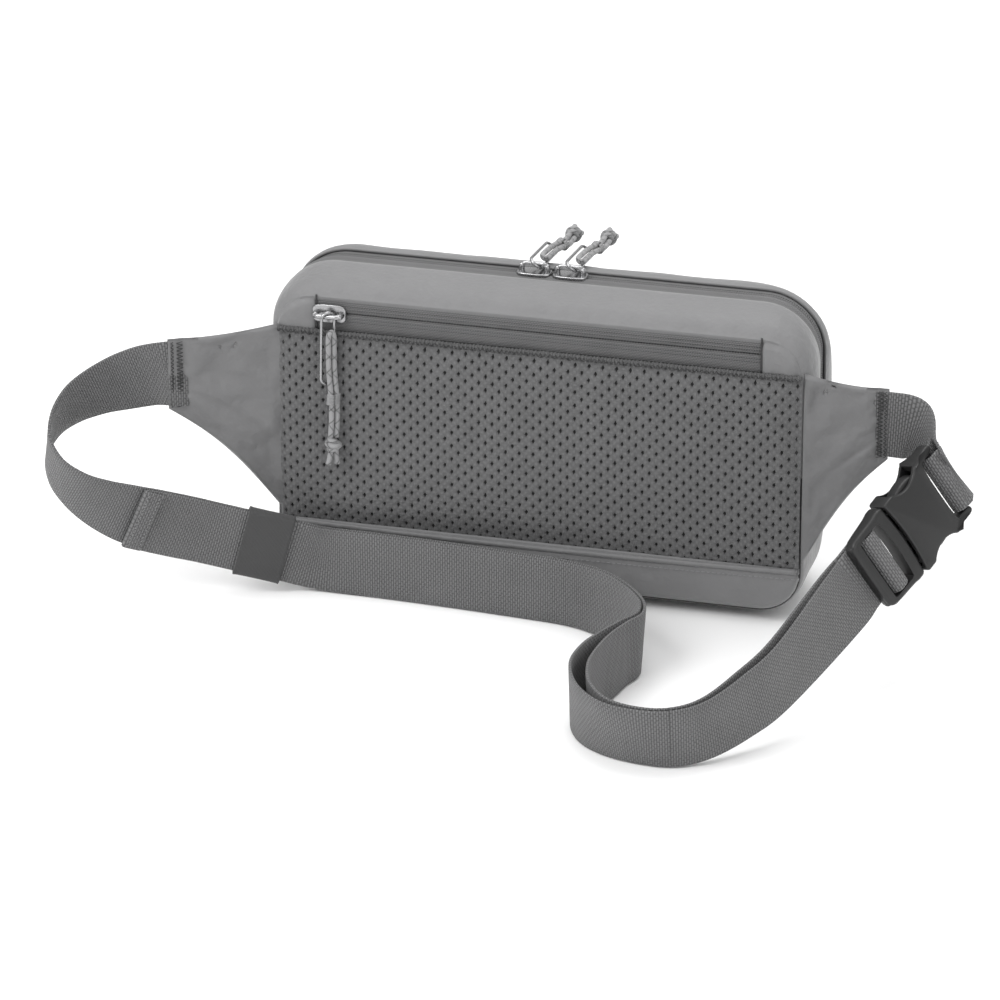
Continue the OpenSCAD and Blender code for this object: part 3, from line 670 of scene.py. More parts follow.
def outline_at(y):
    """The outline's sizes at any depth, on a smooth curve."""
    y = min(max(y, outlines[0][0]), outlines[-1][0])
    k = 0
    while k < len(outlines) - 2 and outlines[k + 1][0] < y:
        k += 1
    a, b = outlines[k], outlines[k + 1]
    f = (y - a[0]) / (b[0] - a[0])
    before, after = outlines[max(k - 1, 0)], outlines[min(k + 2, len(outlines) - 1)]
    out = []
    for i in range(1, 6):
        ma = (b[i] - before[i]) / (b[0] - before[0]) * (b[0] - a[0])
        mb = (after[i] - a[i]) / (after[0] - a[0]) * (b[0] - a[0])
        h = (2 * f ** 3 - 3 * f ** 2 + 1) * a[i] + (f ** 3 - 2 * f ** 2 + f) * ma + (3 * f ** 2 - 2
            * f ** 3) * b[i] + (f ** 3 - f ** 2) * mb
        out.append(min(max(h, min(a[i], b[i]) - 0.0004), max(a[i], b[i]) + 0.0004))
    return out

def rim(y, upper, inset=0.0, split=0.074, corner=14, straight=40, side=5):
    """Half an outline from the left side to the right side, as points."""
    w, low, high, ru, rl = outline_at(y)
    w -= inset
    r = (ru if upper else rl) - inset
    z = high - inset if upper else low + inset
    s = 1 if upper else -1
    pts = [Vector((-w, y, split + (z - s * r - split) * i / side)) for i in range(side)]
    pts += [Vector((-w + r - r * math.cos(a), y, z - s * r + s * r * math.sin(a)))
        for a in (math.pi / 2 * i / corner for i in range(corner + 1))]
    flat = [Vector((-(w - r) + 2 * (w - r) * i / straight, y, z)) for i in range(1, straight)]
    mirror = [Vector((-p.x, p.y, p.z)) for p in reversed(pts)]
    return pts + flat + mirror

def outward(p):
    """The direction out of the pack at a point on its rim."""
    w, low, high, ru, rl = outline_at(p.y)
    cx = min(max(p.x, -(w - ru)), w - ru)
    cz = min(max(p.z, low + rl), high - ru)
    d = Vector((p.x - cx, 0, p.z - cz))
    return d.normalized() if d.length > 1e-6 else Vector((0, 0, 1 if p.z > 0.07 else -1))

# %% [markdown]
# ### Top and bottom cloth
# The band round the pack is cut in strips: a back strip and a front strip either side of the main zip, and one
# strip underneath. Each strip rolls over at its seams: near an edge it turns in, which draws the dark line that
# a sewn seam has. Slow ripples along the band are the cloth's slack.

# %% A strip of the band
def band(name, y0, y1, upper, roll0, roll1, finish, columns=18, swell=0.0008, split=0.074, under=0.0):
    """Cloth between two depths; roll0 and roll1 are how far its edges turn in, in metres."""
    rows = []
    for j in range(columns + 1):
        f = j / columns
        f = 0.5 - 0.5 * math.cos(math.pi * f) if columns > 6 else f
        y = y0 + (y1 - y0) * f
        edge = roll0 * (1 - ease(0, 0.0035, (y - y0))) + roll1 * (1 - ease(0, 0.0025, (y1 - y)))
        row = []
        for p in rim(y, upper, under, split=split):
            n = outward(p)
            puff = swell * math.sin(math.pi * f)
            slack = 0.00055 * ripple(p, 0.024,
                3) * math.sin(math.pi * f) + 0.0003 * ripple(Vector((p.x, p.y * 2, p.z)), 0.011,
                9) * math.sin(math.pi * f)
            row.append(p + n * (puff + slack - edge))
        rows.append(row)
    obj = sheet_mesh(name, rows)
    face_out(obj)
    probe = obj.data.polygons[len(obj.data.polygons) // 2]
    if probe.normal.dot(probe.center - Vector((probe.center.x, probe.center.y, 0.074))) < 0:
        obj.data.flip_normals()
    thicken(obj, 0.0012)
    return paint(obj, finish)

top_back = band("top_strip_back", back_y + 0.0006, -0.0078, True, 0.0022, 0.0005, nylon)
top_front = band("top_strip_front", 0.0078, front_y + 0.0005, True, 0.0005, 0.0018, nylon)
base_strip = band("bottom_strip", back_y + 0.0006, front_y + 0.0005, False, 0.0022, 0.0018, nylon, 26, 0.0,
    0.0775, 0.0003)
for piece, node in ((top_back, "top_gusset_back"), (top_front, "top_gusset_front"),
        (base_strip, "bottom_gusset")):
    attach(piece, "pack")
    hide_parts(node)
print("band made of", len(top_back.data.vertices) + len(top_front.data.vertices)
    + len(base_strip.data.vertices), "points")

# %% [markdown]
# ### The main zip
# The zip is set between the two top strips: two tapes whose inner edges meet in a fine groove, with the coil
# turned to the inside, so that only the stitches that hold it show as two rows of dots each side. Near the
# strips the tape runs under their folded edges, which are top-stitched.

# %% Tapes of the main zip
def main_tape(name, side):
    rows = []
    steps = 10
    for j in range(steps + 1):
        f = j / steps
        y = side * (0.00025 + 0.0088 * f)
        row = []
        for p in rim(y, True, inset=0.0009, split=0.074):
            n = outward(p)
            groove = 0.0011 * math.exp(-((abs(y) / 0.0006) ** 2)) - 0.0005 * math.exp(-(((abs(y)
                - 0.0022) / 0.0013) ** 2))
            row.append(p - n * groove)
        rows.append(row)
    obj = sheet_mesh(name, rows)
    if obj.data.polygons[len(obj.data.polygons) // 2].normal.z < 0:
        obj.data.flip_normals()
    thicken(obj, 0.0008)
    return paint(obj, tape)

for name, side, node in (("main_tape_back", -1, "main_zip_tape_back"),
        ("main_tape_front", 1, "main_zip_tape_front")):
    piece = main_tape(name, side)
    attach(piece, "pack")
    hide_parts(node)

def rim_line(y, inset, lift=0.0, upper=True, low=0.08):
    return [p + outward(p) * lift for p in rim(y, upper, inset) if p.z > low]

# %% Stitches that hold the coil, and the top-stitching
rows = []
for y in (-0.0036, -0.0019, 0.0019, 0.0036):
    rows.append(stitches("row", rim_line(y, 0.0009, 0.0004), outward, 1.15, 0.75, 0.42, 0.0))
coil_stitches = paint(join("main_zip_coil_stitches", rows), dark_thread_and_shadow)
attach(coil_stitches, "pack")
rows = [stitches("row", rim_line(y, 0.0, lift), outward, 2.3, 1.7, 0.42, 0.05) for y,
    lift in ((-0.0102, 0.0004), (0.0102, 0.0004))]
top_stitches = paint(join("main_zip_top_stitching", rows), thread)
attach(top_stitches, "pack")

# %% [markdown]
# The coils themselves lie inside, under the tapes: a row of small loops on each side that hook into the other
# side's. One loop is modelled and copied along the zip.

# %% Coils
def coil(name, line, normals, side_sign, pitch=1.3):
    """A row of small open loops along a line."""
    pts = even(line, pitch * mm)
    verts, faces = [], []
    for i, p in enumerate(pts):
        t = way(pts, i)
        n = Vector(normals(p)) if callable(normals) else Vector(normals)
        s = t.cross(n).normalized() * side_sign
        k = len(verts)
        loop = [(0.3, 0.0), (1.6, -0.1), (2.3, -0.9), (1.6, -1.7), (0.3, -1.6), (-0.35, -0.85)]
        for a, b in loop:
            c = p + s * a * mm + n * b * mm
            verts += [c + t * 0.3 * mm, c + n * 0.3 * mm + s * 0.1 * mm, c - t * 0.3 * mm,
                c - n * 0.3 * mm - s * 0.1 * mm]
        m = len(loop)
        for a in range(m):
            for q in range(4):
                w = (q + 1) % 4
                b = (a + 1) % m
                faces.append((k + a * 4 + q, k + a * 4 + w, k + b * 4 + w, k + b * 4 + q))
    obj = smooth_object(name, verts, faces)
    face_out(obj)
    return paint(obj, coil_finish)

for side, node in ((-1, "main_zip_coil_back"), (1, "main_zip_coil_front")):
    piece = coil(node + "_loops", rim_line(side * 0.0006, 0.0018), outward, side * -1)
    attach(piece, "pack")
    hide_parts(node)
print("main zip made")

# %% [markdown]
# ## The back
# The back has a mesh pad in the middle, a zip band above it with a plain patch at each end, and a plain band
# below. Each is its own piece of cloth, sewn to its neighbours.

# %% Plain cloth on the back
def panel_top(x, inset=0.0):
    """Height of the back panel's outline over x."""
    r = 0.018
    d = max(0.0, abs(x) - (half_w - r))
    return high_seam - r + math.sqrt(max(r * r - d * d, 0.0)) - inset

def panel_bottom(x, inset=0.0):
    r = 0.020
    d = max(0.0, abs(x) - (half_w - r))
    return low_seam + r - math.sqrt(max(r * r - d * d, 0.0)) + inset

def facing_back(obj):
    """Turns a panel's faces towards the wearer."""
    if sum(p.normal.y for p in obj.data.polygons) > 0:
        obj.data.flip_normals()
    return obj

low_band_rows = []
for j in range(25):
    f = j / 24
    row = []
    for i in range(121):
        x = -half_w * 0.998 + 2 * half_w * 0.998 * i / 120
        z0, z1 = panel_bottom(x, 0.0004), pad_low.z + 0.0005
        z = z0 + (z1 - z0) * f
        bulge = 0.0022 * math.sin(math.pi * min(1, f * 0.9 + 0.1)) + 0.0005 * ripple((x, z, 0), 0.02,
            5) * math.sin(math.pi * f)
        roll = 0.0016 * (1 - ease(0, 0.12, f))
        side_roll = 0.0014 * (1 - ease(0, 0.004, half_w - abs(x)))
        row.append(Vector((x, back_y - 0.0006 - bulge + roll + side_roll, z)))
    low_band_rows.append(row)
low_band = thicken(facing_back(sheet_mesh("back_low_band", low_band_rows)), 0.0012)
paint(low_band, nylon)
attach(low_band, "pack")
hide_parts("back_panel")

# %% [markdown]
# The piping under the pad is a strip of shell cloth folded over a cord, with a fold line close above a row of
# stitches. Its ends turn down a little at the side seams.

# %% Piping under the pad
pipe_line = [Vector((x, back_y - 0.0012, pad_low.z - 0.0006 - 0.0016 * (1 - (x / half_w) ** 2)))
    for x in [half_w * 0.99 * (-1 + i / 60) for i in range(121)]]
piping = tube("pad_piping_roll", pipe_line, 0.00135, 14)
paint(piping, nylon)
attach(piping, "pack")
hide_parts("pad_piping")
seam_line = [p + Vector((0, -0.0016, -0.0030)) for p in pipe_line]
piping_stitches = paint(stitches("piping_stitching", seam_line, (0, -1, 0), 2.5, 1.9, 0.42, 0.0), thread)
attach(piping_stitches, "pack")
print("lower band and piping made")

# %% [markdown]
# The seams round the back and the front are bound: the raw edges are rolled in a narrow strip, which closes the
# groove between two panels. A thin roll along each seam stands for it, in the darker nylon as painted shade,
# with a thin dark tube beside it as painted shadow in the seam's groove.

# %% Bound seams
def seam_loop(y, inset, radius, name, finish=nylon_painted_shade):
    top = rim(y, True, inset)
    bottom = [p for p in reversed(rim(y, False, inset))]
    line = top + bottom
    loop = tube(name, line + line[:1], radius, 8)
    paint(loop, finish)
    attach(loop, "pack")
    return loop

seam_loop(back_y + 0.0010, 0.0023, 0.0012, "seam_roll_back")
seam_loop(front_y + 0.0002, 0.0020, 0.0012, "seam_roll_front")
# Painted shadow: thin dark tubes in the seam grooves at the back and the front.
seam_loop(back_y + 0.0016, 0.0007, 0.0006, "seam_shadow_back", dark_thread_and_shadow)
seam_loop(front_y - 0.0016, 0.0007, 0.0006, "seam_shadow_front", dark_thread_and_shadow)
print("seams bound")

# %% [markdown]
# ### Puffed cloth
# Padded or slack cloth that is sewn all round swells in the middle and puckers at its seams. Blender's cloth
# simulation gives that shape: a flat grid is pinned along its border, given a little too much cloth and a
# little pressure, and stepped until it rests. What is kept is its height over the grid, as a share of the
# highest point, so one simulation serves for any panel of that shape.

# %% A simulated swell
def swell_of(wide, high, step, pressure, slack, seed):
    """Returns height(a, b), from 0 at the border to 1 at the highest point; a and b run from 0 to 1."""
    nx, nz = round(wide / step), round(high / step)
    bpy.ops.object.select_all(action="DESELECT")
    bpy.ops.mesh.primitive_grid_add(x_subdivisions=nx, y_subdivisions=nz, size=1, location=(0, 0, 0))
    obj = bpy.context.object
    obj.scale = (wide, high, 1)
    bpy.ops.object.transform_apply(location=True, rotation=True, scale=True)
    place_of = {}
    for v in obj.data.vertices:
        i, j = round((v.co.x / wide + 0.5) * nx), round((v.co.y / high + 0.5) * nz)
        place_of[(i, j)] = v.index
        if 0 < i < nx and 0 < j < nz:
            v.co.z = 0.0006 * ripple(v.co, 0.02, seed) + 0.0003
    sewn = obj.vertex_groups.new(name="sewn")
    sewn.add([k for (i, j), k in place_of.items() if i in (0, nx) or j in (0, nz)], 1.0, "REPLACE")
    mod = obj.modifiers.new("cloth", "CLOTH")
    s = mod.settings
    s.quality, s.mass, s.air_damping = 6, 0.15, 2.0
    s.tension_stiffness = s.compression_stiffness = 12
    s.bending_stiffness = 0.02
    s.use_pressure, s.uniform_pressure_force = True, pressure
    s.shrink_min = s.shrink_max = -slack
    s.vertex_group_mass = "sewn"
    s.effector_weights.gravity = 0
    mod.point_cache.frame_end = 24
    scene = bpy.context.scene
    for f in range(1, 25):
        scene.frame_set(f)
    done = obj.evaluated_get(bpy.context.evaluated_depsgraph_get()).to_mesh()
    z = {key: done.vertices[k].co.z for key, k in place_of.items()}
    obj.evaluated_get(bpy.context.evaluated_depsgraph_get()).to_mesh_clear()
    only(obj)
    bpy.ops.object.delete()
    scene.frame_set(1)
    highest = max(max(z.values()), 1e-5)
    def height(a, b):
        x, y = min(max(a, 0), 0.99999) * nx, min(max(b, 0), 0.99999) * nz
        i, j = int(x), int(y)
        fx, fy = x - i, y - j
        low = z[(i, j)] * (1 - fx) + z[(i + 1, j)] * fx
        high_ = z[(i, j + 1)] * (1 - fx) + z[(i + 1, j + 1)] * fx
        return (low * (1 - fy) + high_ * fy) / highest
    print("cloth swell", nx, "x", nz, "cells, highest", round(highest / mm, 1), "mm")
    return height

pad_swell = swell_of(0.249, 0.097, 0.0065, 3.0, 0.03, 2)
wing_swell = swell_of(0.05, 0.09, 0.0032, 2.0, 0.09, 5)
pocket_swell = swell_of(0.238, 0.096, 0.0065, 2.5, 0.05, 8)

# %% [markdown]
# ### Back zip
# The back pocket's zip has the same tapes as the main one, lying flat between the mesh pad and the top seam.
# The tape above is folded under the seam, and the one below goes behind the rolled edge of the mesh.

# %% Back zip tapes
pad_top = pad_high.z
zip_z = (box("back_zip_tape_upper")[0].z + box("back_zip_tape_lower")[1].z) / 2
zip_half = box("back_zip_tape_upper")[1].x

def flat_tape(name, half, z_near, z_far, y_face, facing, bow=0.0):
    """A tape along X between two heights; facing is -1 towards the wearer and 1 towards the front."""
    rows = []
    for j in range(13):
        f = j / 12
        z = z_near + (z_far - z_near) * f
        d = abs(z - z_near)
        groove = 0.0009 * math.exp(-((d / 0.0006) ** 2)) + 0.0004 * ease(0.55, 1.0, f)
        rise = 0.00025 * math.exp(-(((d - 0.0024) / 0.0014) ** 2))
        row = []
        for i in range(91):
            x = -half + 2 * half * i / 90
            sway = 0.00025 * ripple((x, z, 0), 0.02, 4)
            row.append(Vector((x, y_face - facing * (groove - rise * 0.5) + facing * min(sway, 0.0),
                z + bow * math.cos(math.pi * x / 2 / half))))
        rows.append(row)
    obj = sheet_mesh(name, rows)
    if obj.data.polygons[0].normal.y * facing < 0:
        obj.data.flip_normals()
    thicken(obj, 0.0008)
    return paint(obj, tape)

for name, z0, z1, node in (("back_tape_upper", zip_z + 0.0002, high_seam - 0.0003, "back_zip_tape_upper"),
                           ("back_tape_lower", zip_z - 0.0002, pad_top - 0.0006, "back_zip_tape_lower")):
    piece = flat_tape(name, zip_half + 0.0015, z0, z1, back_y, -1)
    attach(piece, "pack")
    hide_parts(node)

def level_line(half, y, z, count=80):
    return [Vector((-half + 2 * half * i / count, y, z)) for i in range(count + 1)]

rows = []
for dz in (-0.0037, -0.0020, 0.0020, 0.0037):
    rows.append(stitches("row", level_line(zip_half, back_y - 0.0001, zip_z + dz), (0, -1, 0), 1.15, 0.75, 0.42,
        0.0))
piece = paint(join("back_zip_coil_stitches", rows), dark_thread_and_shadow)
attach(piece, "pack")
for side, node in ((1, "back_zip_coil_upper"), (-1, "back_zip_coil_lower")):
    piece = coil(node + "_loops", level_line(zip_half, back_y + 0.0010, zip_z + side * 0.0006), (0, -1, 0),
        side)
    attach(piece, "pack")
    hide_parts(node)
print("back zip made")

# %% [markdown]
# ### Corner patches
# At each end of the back zip a small patch of shell cloth covers the end of the tapes. Its inner edge is folded
# under, so it stands a little proud of the tapes with a soft rounded edge. A thin dark tube along that edge is
# painted shadow under the fold.

# %% Patches
def patch(name, side):
    rows = []
    inner, outer = zip_half - 0.0015, half_w - 0.0006
    for j in range(19):
        x = inner + (outer - inner) * (j / 18)
        z0, z1 = pad_top - 0.001, panel_top(x, 0.0012)
        row = []
        for i in range(25):
            z = z0 + (z1 - z0) * i / 24
            edge = 0.0008 * ease(0.0, 0.0018, x - inner)
            fall = 0.0011 * (1 - ease(0, 0.004, z1 - z)) + 0.0010 * (1 - ease(0, 0.004, outer - x))
            puff = 0.0011 * math.sin(math.pi * min(1, (x - inner) / (outer - inner))) * math.sin(math.pi
                * i / 24)
            crease = 0.0004 * ripple((x * 1.6, z, side), 0.008, 6)
            row.append(Vector((side * x, back_y - 0.0003 - edge - puff - crease + fall, z)))
        rows.append(row)
    obj = thicken(facing_back(sheet_mesh(name, rows)), 0.0011)
    return paint(obj, nylon)

for name, side in (("corner_patch_left", -1), ("corner_patch_right", 1)):
    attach(patch(name, side), "pack")
    x = side * (zip_half - 0.0017)
    # Painted shadow: a thin dark tube along the patch's folded inner edge.
    fold = tube(name + "_fold", [Vector((x, back_y - 0.0004, pad_top + (zip_z - pad_top) * 2 * i / 12))
        for i in range(13)], 0.00045, 8)
    paint(fold, dark_thread_and_shadow)
    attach(fold, "pack")
print("corner patches made")

# %% [markdown]
# ### The mesh pad
# Spacer mesh is two knitted faces with a springy layer between. Its outer face is a net of small diamond holes.
# The holes are real dents in a dense grid, on a pillow that swells a little in the middle and tucks in at its
# seams. The finish paints the same holes nearly black as painted shade, because the map has the same origin.

# %% Mesh pad
def hole_depth(u, v):
    """How deep in a hole a point of the mesh is, from 0 to 1."""
    best = 9.0
    for shift in (0.0, 0.5):
        a, b = u / hole_pitch + shift, v / (2 * hole_rows) + shift
        du, dv = abs(a - math.floor(a) - 0.5) * hole_pitch, abs(b - math.floor(b) - 0.5) * 2 * hole_rows
        best = min(best, du / hole_half_w + dv / hole_half_h)
    return 1 - ease(0.55, 1.15, best)

pad_half = pad_high.x
pad_w, pad_h = 2 * pad_half, pad_high.z - pad_low.z
columns = 452
lines = 186
us = [pad_w * i / columns for i in range(columns + 1)]
vs = [pad_h * j / lines for j in range(lines + 1)]
rows = []
for v in vs:
    row = []
    for u in us:
        x, z = u - pad_half, pad_low.z + v
        side_in = ease(0, 0.010, min(u, pad_w - u))
        low_in, top_in = ease(0, 0.012, v), ease(0, 0.009, pad_h - v)
        swell = pad_swell(u / pad_w, v / pad_h)
        out = 0.0002 + 0.0026 * (side_in * low_in
            * (0.25 + 0.75 * top_in)) ** 0.7 + 0.0016 * swell + 0.0004 * ripple((x, 0, z), 0.03, 11)
        pucker = 0.0005 * (1 - ease(0, 0.006, min(u, pad_w - u))) * ripple((0, x, z), 0.006, 3)
        knit = hole_depth(u, v)
        out += pucker - knit * 0.0011 * min(1, side_in + 0.25)
        row.append(Vector((x, back_y - out, z)))
    rows.append(row)
pad = sheet_mesh("mesh_pad", rows, u_of=us, v_of=vs)
facing_back(pad)
paint(pad, spacer)
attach(pad, "pack")
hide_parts("back_mesh_pad")
print("mesh pad", len(pad.data.polygons) * 2, "triangles")

# %% [markdown]
# The pad's upper edge is the pocket's mouth. The mesh is rolled over it and caught with a dark zigzag, which
# makes it lumpy: the roll is a tube whose radius changes with the stitches.

# %% Rolled edge of the mesh
steps = 620
roll_line = [Vector((-pad_half + 0.0004 + (pad_w - 0.0008) * i / steps, back_y - 0.0017,
    pad_top - 0.0008 + 0.0003 * ripple((i * 0.0004, 0, 0), 0.01, 2))) for i in range(steps + 1)]
roll_r = [0.00125 + 0.00028 * math.sin(i * 2 * math.pi / 4.6) + 0.0002 * ripple((i * 0.0004, 1, 0), 0.0016, 1)
    for i in range(steps + 1)]
roll = tube("mesh_edge_roll", roll_line, roll_r, 12)
mesh_edge = make_webbing("mesh_edge", 0.085, 0.9, 0.9, 0.25, 0.6)
paint(roll, mesh_edge)
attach(roll, "pack")
edge_stitches = paint(zigzag("mesh_edge_zigzag", [p + Vector((0, -0.0013, -0.0003)) for p in roll_line[::4]],
    (0, -1, 0), 1.9, 1.15, 0.4, 0.05), dark_thread_and_shadow)
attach(edge_stitches, "pack")
print("mesh edge made")

# %% [markdown]
# ## Front panel and pocket
# The front panel is plain cloth with a flat zipped pocket standing out from it. Both are sheets whose height
# falls off near their outline, so they look sewn down all round.

# %% Distance to a rounded outline
def edge_distance(x, z, w, low, high, r_top, r_low):
    """How far inside a rounded outline a point lies."""
    mid = (low + high) / 2
    r = r_top if z > mid else r_low
    qx = abs(x) - (w - r)
    qz = (z - (high - r)) if z > mid else ((low + r) - z)
    return r - (math.hypot(max(qx, 0), max(qz, 0)) + min(max(qx, qz), 0))

def outline_sheet(name, w, low, high, r_top, r_low, height, across=110, up=56, flip=False):
    """A sheet that fills a rounded outline; height(x, z, d) gives its Y, d being the distance to the edge."""
    def soft(f):
        return 0.5 - 0.5 * math.cos(math.pi * f)
    rows = []
    for j in range(up + 1):
        z = low + (high - low) * soft(j / up)
        r, d = (r_top, max(0.0, z - (high - r_top))) if z > (low + high) / 2 else (r_low,
            max(0.0, low + r_low - z))
        reach = w - r + math.sqrt(max(r * r - d * d, 0.0))
        row = []
        for i in range(across + 1):
            f = i / across
            x = reach * (-1 + 2 * (0.35 * f + 0.65 * soft(f)))
            row.append(Vector((x, height(x, z, max(0.0, edge_distance(x, z, w, low, high, r_top, r_low))), z)))
        rows.append(row)
    obj = sheet_mesh(name, rows)
    if (obj.data.polygons[len(obj.data.polygons) // 2].normal.y < 0) != flip:
        obj.data.flip_normals()
    return obj

# %% Front panel
front_w = front_high.x
def front_height(x, z, d):
    return front_y + 0.0001 + 0.0014 * ease(0, 0.005, d) + 0.0003 * ripple((x, z, 0), 0.03, 12) * ease(0,
        0.01, d)
front = outline_sheet("front_cloth", front_w - 0.0006, front_low.z + 0.0006, front_high.z - 0.0006, 0.042,
    0.034, front_height)
thicken(front, 0.0012)
paint(front, nylon)
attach(front, "pack")
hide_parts("front_panel")

# %% Front pocket with its opening
pocket_w = pocket_high.x
face_y = pocket_high.y
front_zip_z = (box("front_zip_tape_upper")[0].z + box("front_zip_tape_lower")[1].z) / 2
front_half = box("front_zip_tape_upper")[1].x
def pocket_height(x, z, d):
    side = min(1.0, d / 0.0065)
    rise = math.sqrt(max(0.0, 1 - (1 - side) ** 2))
    swell = pocket_swell((x + pocket_w) / 2 / pocket_w, (z - pocket_low.z) / (pocket_high.z - pocket_low.z))
    near_zip = 1 - ease(0.0, 0.012, max(0.0, front_zip_z - 0.009 - z)) if z < front_zip_z else 1.0
    base = face_y - 0.0002 + 0.0030 * swell * (1 - near_zip) * ease(0, 0.02, d)
    return front_y + 0.0016 + (base - front_y - 0.0016) * rise
pocket = outline_sheet("front_pocket_cloth", pocket_w, pocket_low.z, pocket_high.z, 0.010, 0.030, pocket_height,
    130, 64)
only(pocket)
bpy.ops.object.mode_set(mode="EDIT")
for point, normal in (((-front_half, 0, 0), (1, 0, 0)), ((front_half, 0, 0), (1, 0, 0)),
                      ((0, 0, front_zip_z - 0.0088), (0, 0, 1)), ((0, 0, front_zip_z + 0.0088), (0, 0, 1))):
    bpy.ops.mesh.select_all(action="SELECT")
    bpy.ops.mesh.bisect(plane_co=point, plane_no=normal)
bpy.ops.object.mode_set(mode="OBJECT")
for p in pocket.data.polygons:
    p.select = abs(p.center.x) < front_half and abs(p.center.z - front_zip_z) < 0.0088
for v in pocket.data.vertices:
    v.select = False
for e in pocket.data.edges:
    e.select = False
bpy.ops.object.mode_set(mode="EDIT")
bpy.ops.mesh.select_mode(type="FACE")
bpy.ops.object.mode_set(mode="OBJECT")
for p in pocket.data.polygons:
    p.select = abs(p.center.x) < front_half and abs(p.center.z - front_zip_z) < 0.0088
bpy.ops.object.mode_set(mode="EDIT")
bpy.ops.mesh.delete(type="FACE")
bpy.ops.mesh.select_mode(type="VERT")
bpy.ops.object.mode_set(mode="OBJECT")
thicken(pocket, 0.0012)
paint(pocket, nylon)
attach(pocket, "pack")
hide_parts("front_pocket")
print("front pocket made")

# %% Front zip
for name, z0, z1, node in (("front_tape_upper", front_zip_z + 0.0002, front_zip_z + 0.0093,
    "front_zip_tape_upper"),
                           ("front_tape_lower", front_zip_z - 0.0002, front_zip_z - 0.0093,
                           "front_zip_tape_lower")):
    piece = flat_tape(name, front_half + 0.0006, z0, z1, face_y - 0.0008, 1)
    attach(piece, "pack")
    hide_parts(node)
rows = []
for dz in (-0.0037, -0.0020, 0.0020, 0.0037):
    rows.append(stitches("row", level_line(front_half, face_y - 0.0007, front_zip_z + dz), (0, 1, 0), 1.15,
        0.75, 0.42, 0.0))
piece = paint(join("front_zip_coil_stitches", rows), dark_thread_and_shadow)
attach(piece, "pack")
rows = [stitches("row", level_line(front_half - 0.001, face_y + 0.0001, front_zip_z + dz), (0, 1, 0), 2.3, 1.7,
    0.42, 0.0) for dz in (-0.0106, 0.0106)]
piece = paint(join("front_zip_top_stitching", rows), thread)
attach(piece, "pack")
for side, node in ((1, "front_zip_coil_upper"), (-1, "front_zip_coil_lower")):
    piece = coil(node + "_loops", level_line(front_half, face_y - 0.0016, front_zip_z + side * 0.0006),
        (0, 1, 0), -side)
    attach(piece, "pack")
    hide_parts(node)
print("front zip made")

# %% [markdown]
# ## Inside
# A card of foam behind a lining gives the back its shape, and a flat pocket hangs on the inside of the front.
# They are flat boards with softened edges.

# %% Inner boards
def board(name, node, r_top, r_low, finish, bulge=0.0):
    low, high = box(node)
    w = high.x - 0.0003
    def flat(x, z, d):
        return high.y - 0.0002 + bulge * ease(0, 0.02, d) - 0.0003 * (1 - ease(0, 0.001, d))
    obj = outline_sheet(name, w, low.z + 0.0003, high.z - 0.0003, r_top, r_low, flat, 60, 30)
    thicken(obj, high.y - low.y - 0.0003)
    paint(obj, finish)
    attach(obj, "pack")
    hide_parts(node)

board("back_foam_board", "pad_foam", 0.008, 0.014, foam_finish)
board("back_pocket_lining", "back_pocket_liner", 0.012, 0.015, lining)
board("inner_front_pocket", "inner_pocket", 0.004, 0.026, lining)
print("inner boards made")

# %% [markdown]
# ## Wings
# Each wing is two layers of shell cloth, sewn together along their edges and turned, so it is a flat pillow
# that narrows from the side seam to the webbing. It wrinkles where it is gathered into the side seam.

# %% A wing
def wing(name, node, side, tip):
    root = Vector((side * (half_w + (0.0002 if side > 0 else -0.003)), back_y + 0.0013, 0))
    tip = Vector((tip[0], tip[1], 0)) * mm
    along = (tip - root).normalized()
    face = Vector((along.y * side, -along.x * side, 0))
    if face.y > 0:
        face = -face
    low, high = box(node)
    tip_top, tip_low = web_mid + 0.0174, web_mid - 0.0174
    across, long = 34, 44
    rows = []
    for j in range(long + 1):
        f = j / long
        p = root + (tip - root) * f
        top = (pad_top + 0.001) * (1 - f) + tip_top * f - 0.0015 * math.sin(math.pi * f)
        bottom = (pad_low.z + 0.002) * (1 - f) + tip_low * f + 0.006 * math.sin(math.pi * f)
        reach = (tip - root).length * f
        front_row, back_row = [], []
        for i in range(across + 1):
            t = i / across
            z = bottom + (top - bottom) * t
            fold = math.sqrt(max(0.0, 1 - abs(2 * t - 1) ** 7))
            swell = wing_swell(f, t)
            gather = math.exp(-reach / 0.014)
            crease = 0.0029 * gather * ripple((reach * 0.45, z, side), 0.0085, 4 + side) * fold
            crease += 0.0017 * ripple((reach * 0.8 + z * 0.3, z - reach * 0.5, side), 0.015,
                8) * fold * (1 - 0.6 * f)
            crease += 0.0006 * ripple((reach, z, side * 2), 0.0065, 1) * fold * (1 - f)
            hem = -0.0005 * ease(0.72, 0.9, f) - 0.0005 * math.exp(-(((f - 0.88) / 0.03) ** 2))
            half = 0.0012 * fold
            front_row.append(p + face * (half + (0.0016 * swell + crease) * ease(0, 0.14, f)
                * (1 - ease(0.8, 0.95, f)) + hem) + Vector((0, 0, z)))
            back_row.append(p - face * (half + 0.0009 * swell * (1 - ease(0.8, 0.95, f)) - crease * 0.5
                * ease(0, 0.06, f) * (1 - ease(0.8, 0.95, f))) + Vector((0, 0, z)))
        rows.append(front_row + list(reversed(back_row)))
    obj = sheet_mesh(name, rows, around=True, caps=True)
    face_out(obj, 0.00002)
    # The wing is painted with the darker copy of the shell nylon, as painted shade.
    paint(obj, nylon_painted_shade)
    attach(obj, "pack")
    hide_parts(node)
    columns = []
    for f, width in ((0.9, 3.4), (0.965, 1.6)):
        p = root + (tip - root) * f + face * 0.0012
        columns.append(zigzag("column",
            [p + Vector((0, 0, web_mid - 0.0165)), p + Vector((0, 0, web_mid + 0.0165))], face, width, 0.95,
            0.45, 0.1))
    tack = paint(join(name + "_stitching", columns), dark_thread_and_shadow)
    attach(tack, "pack")
    return obj

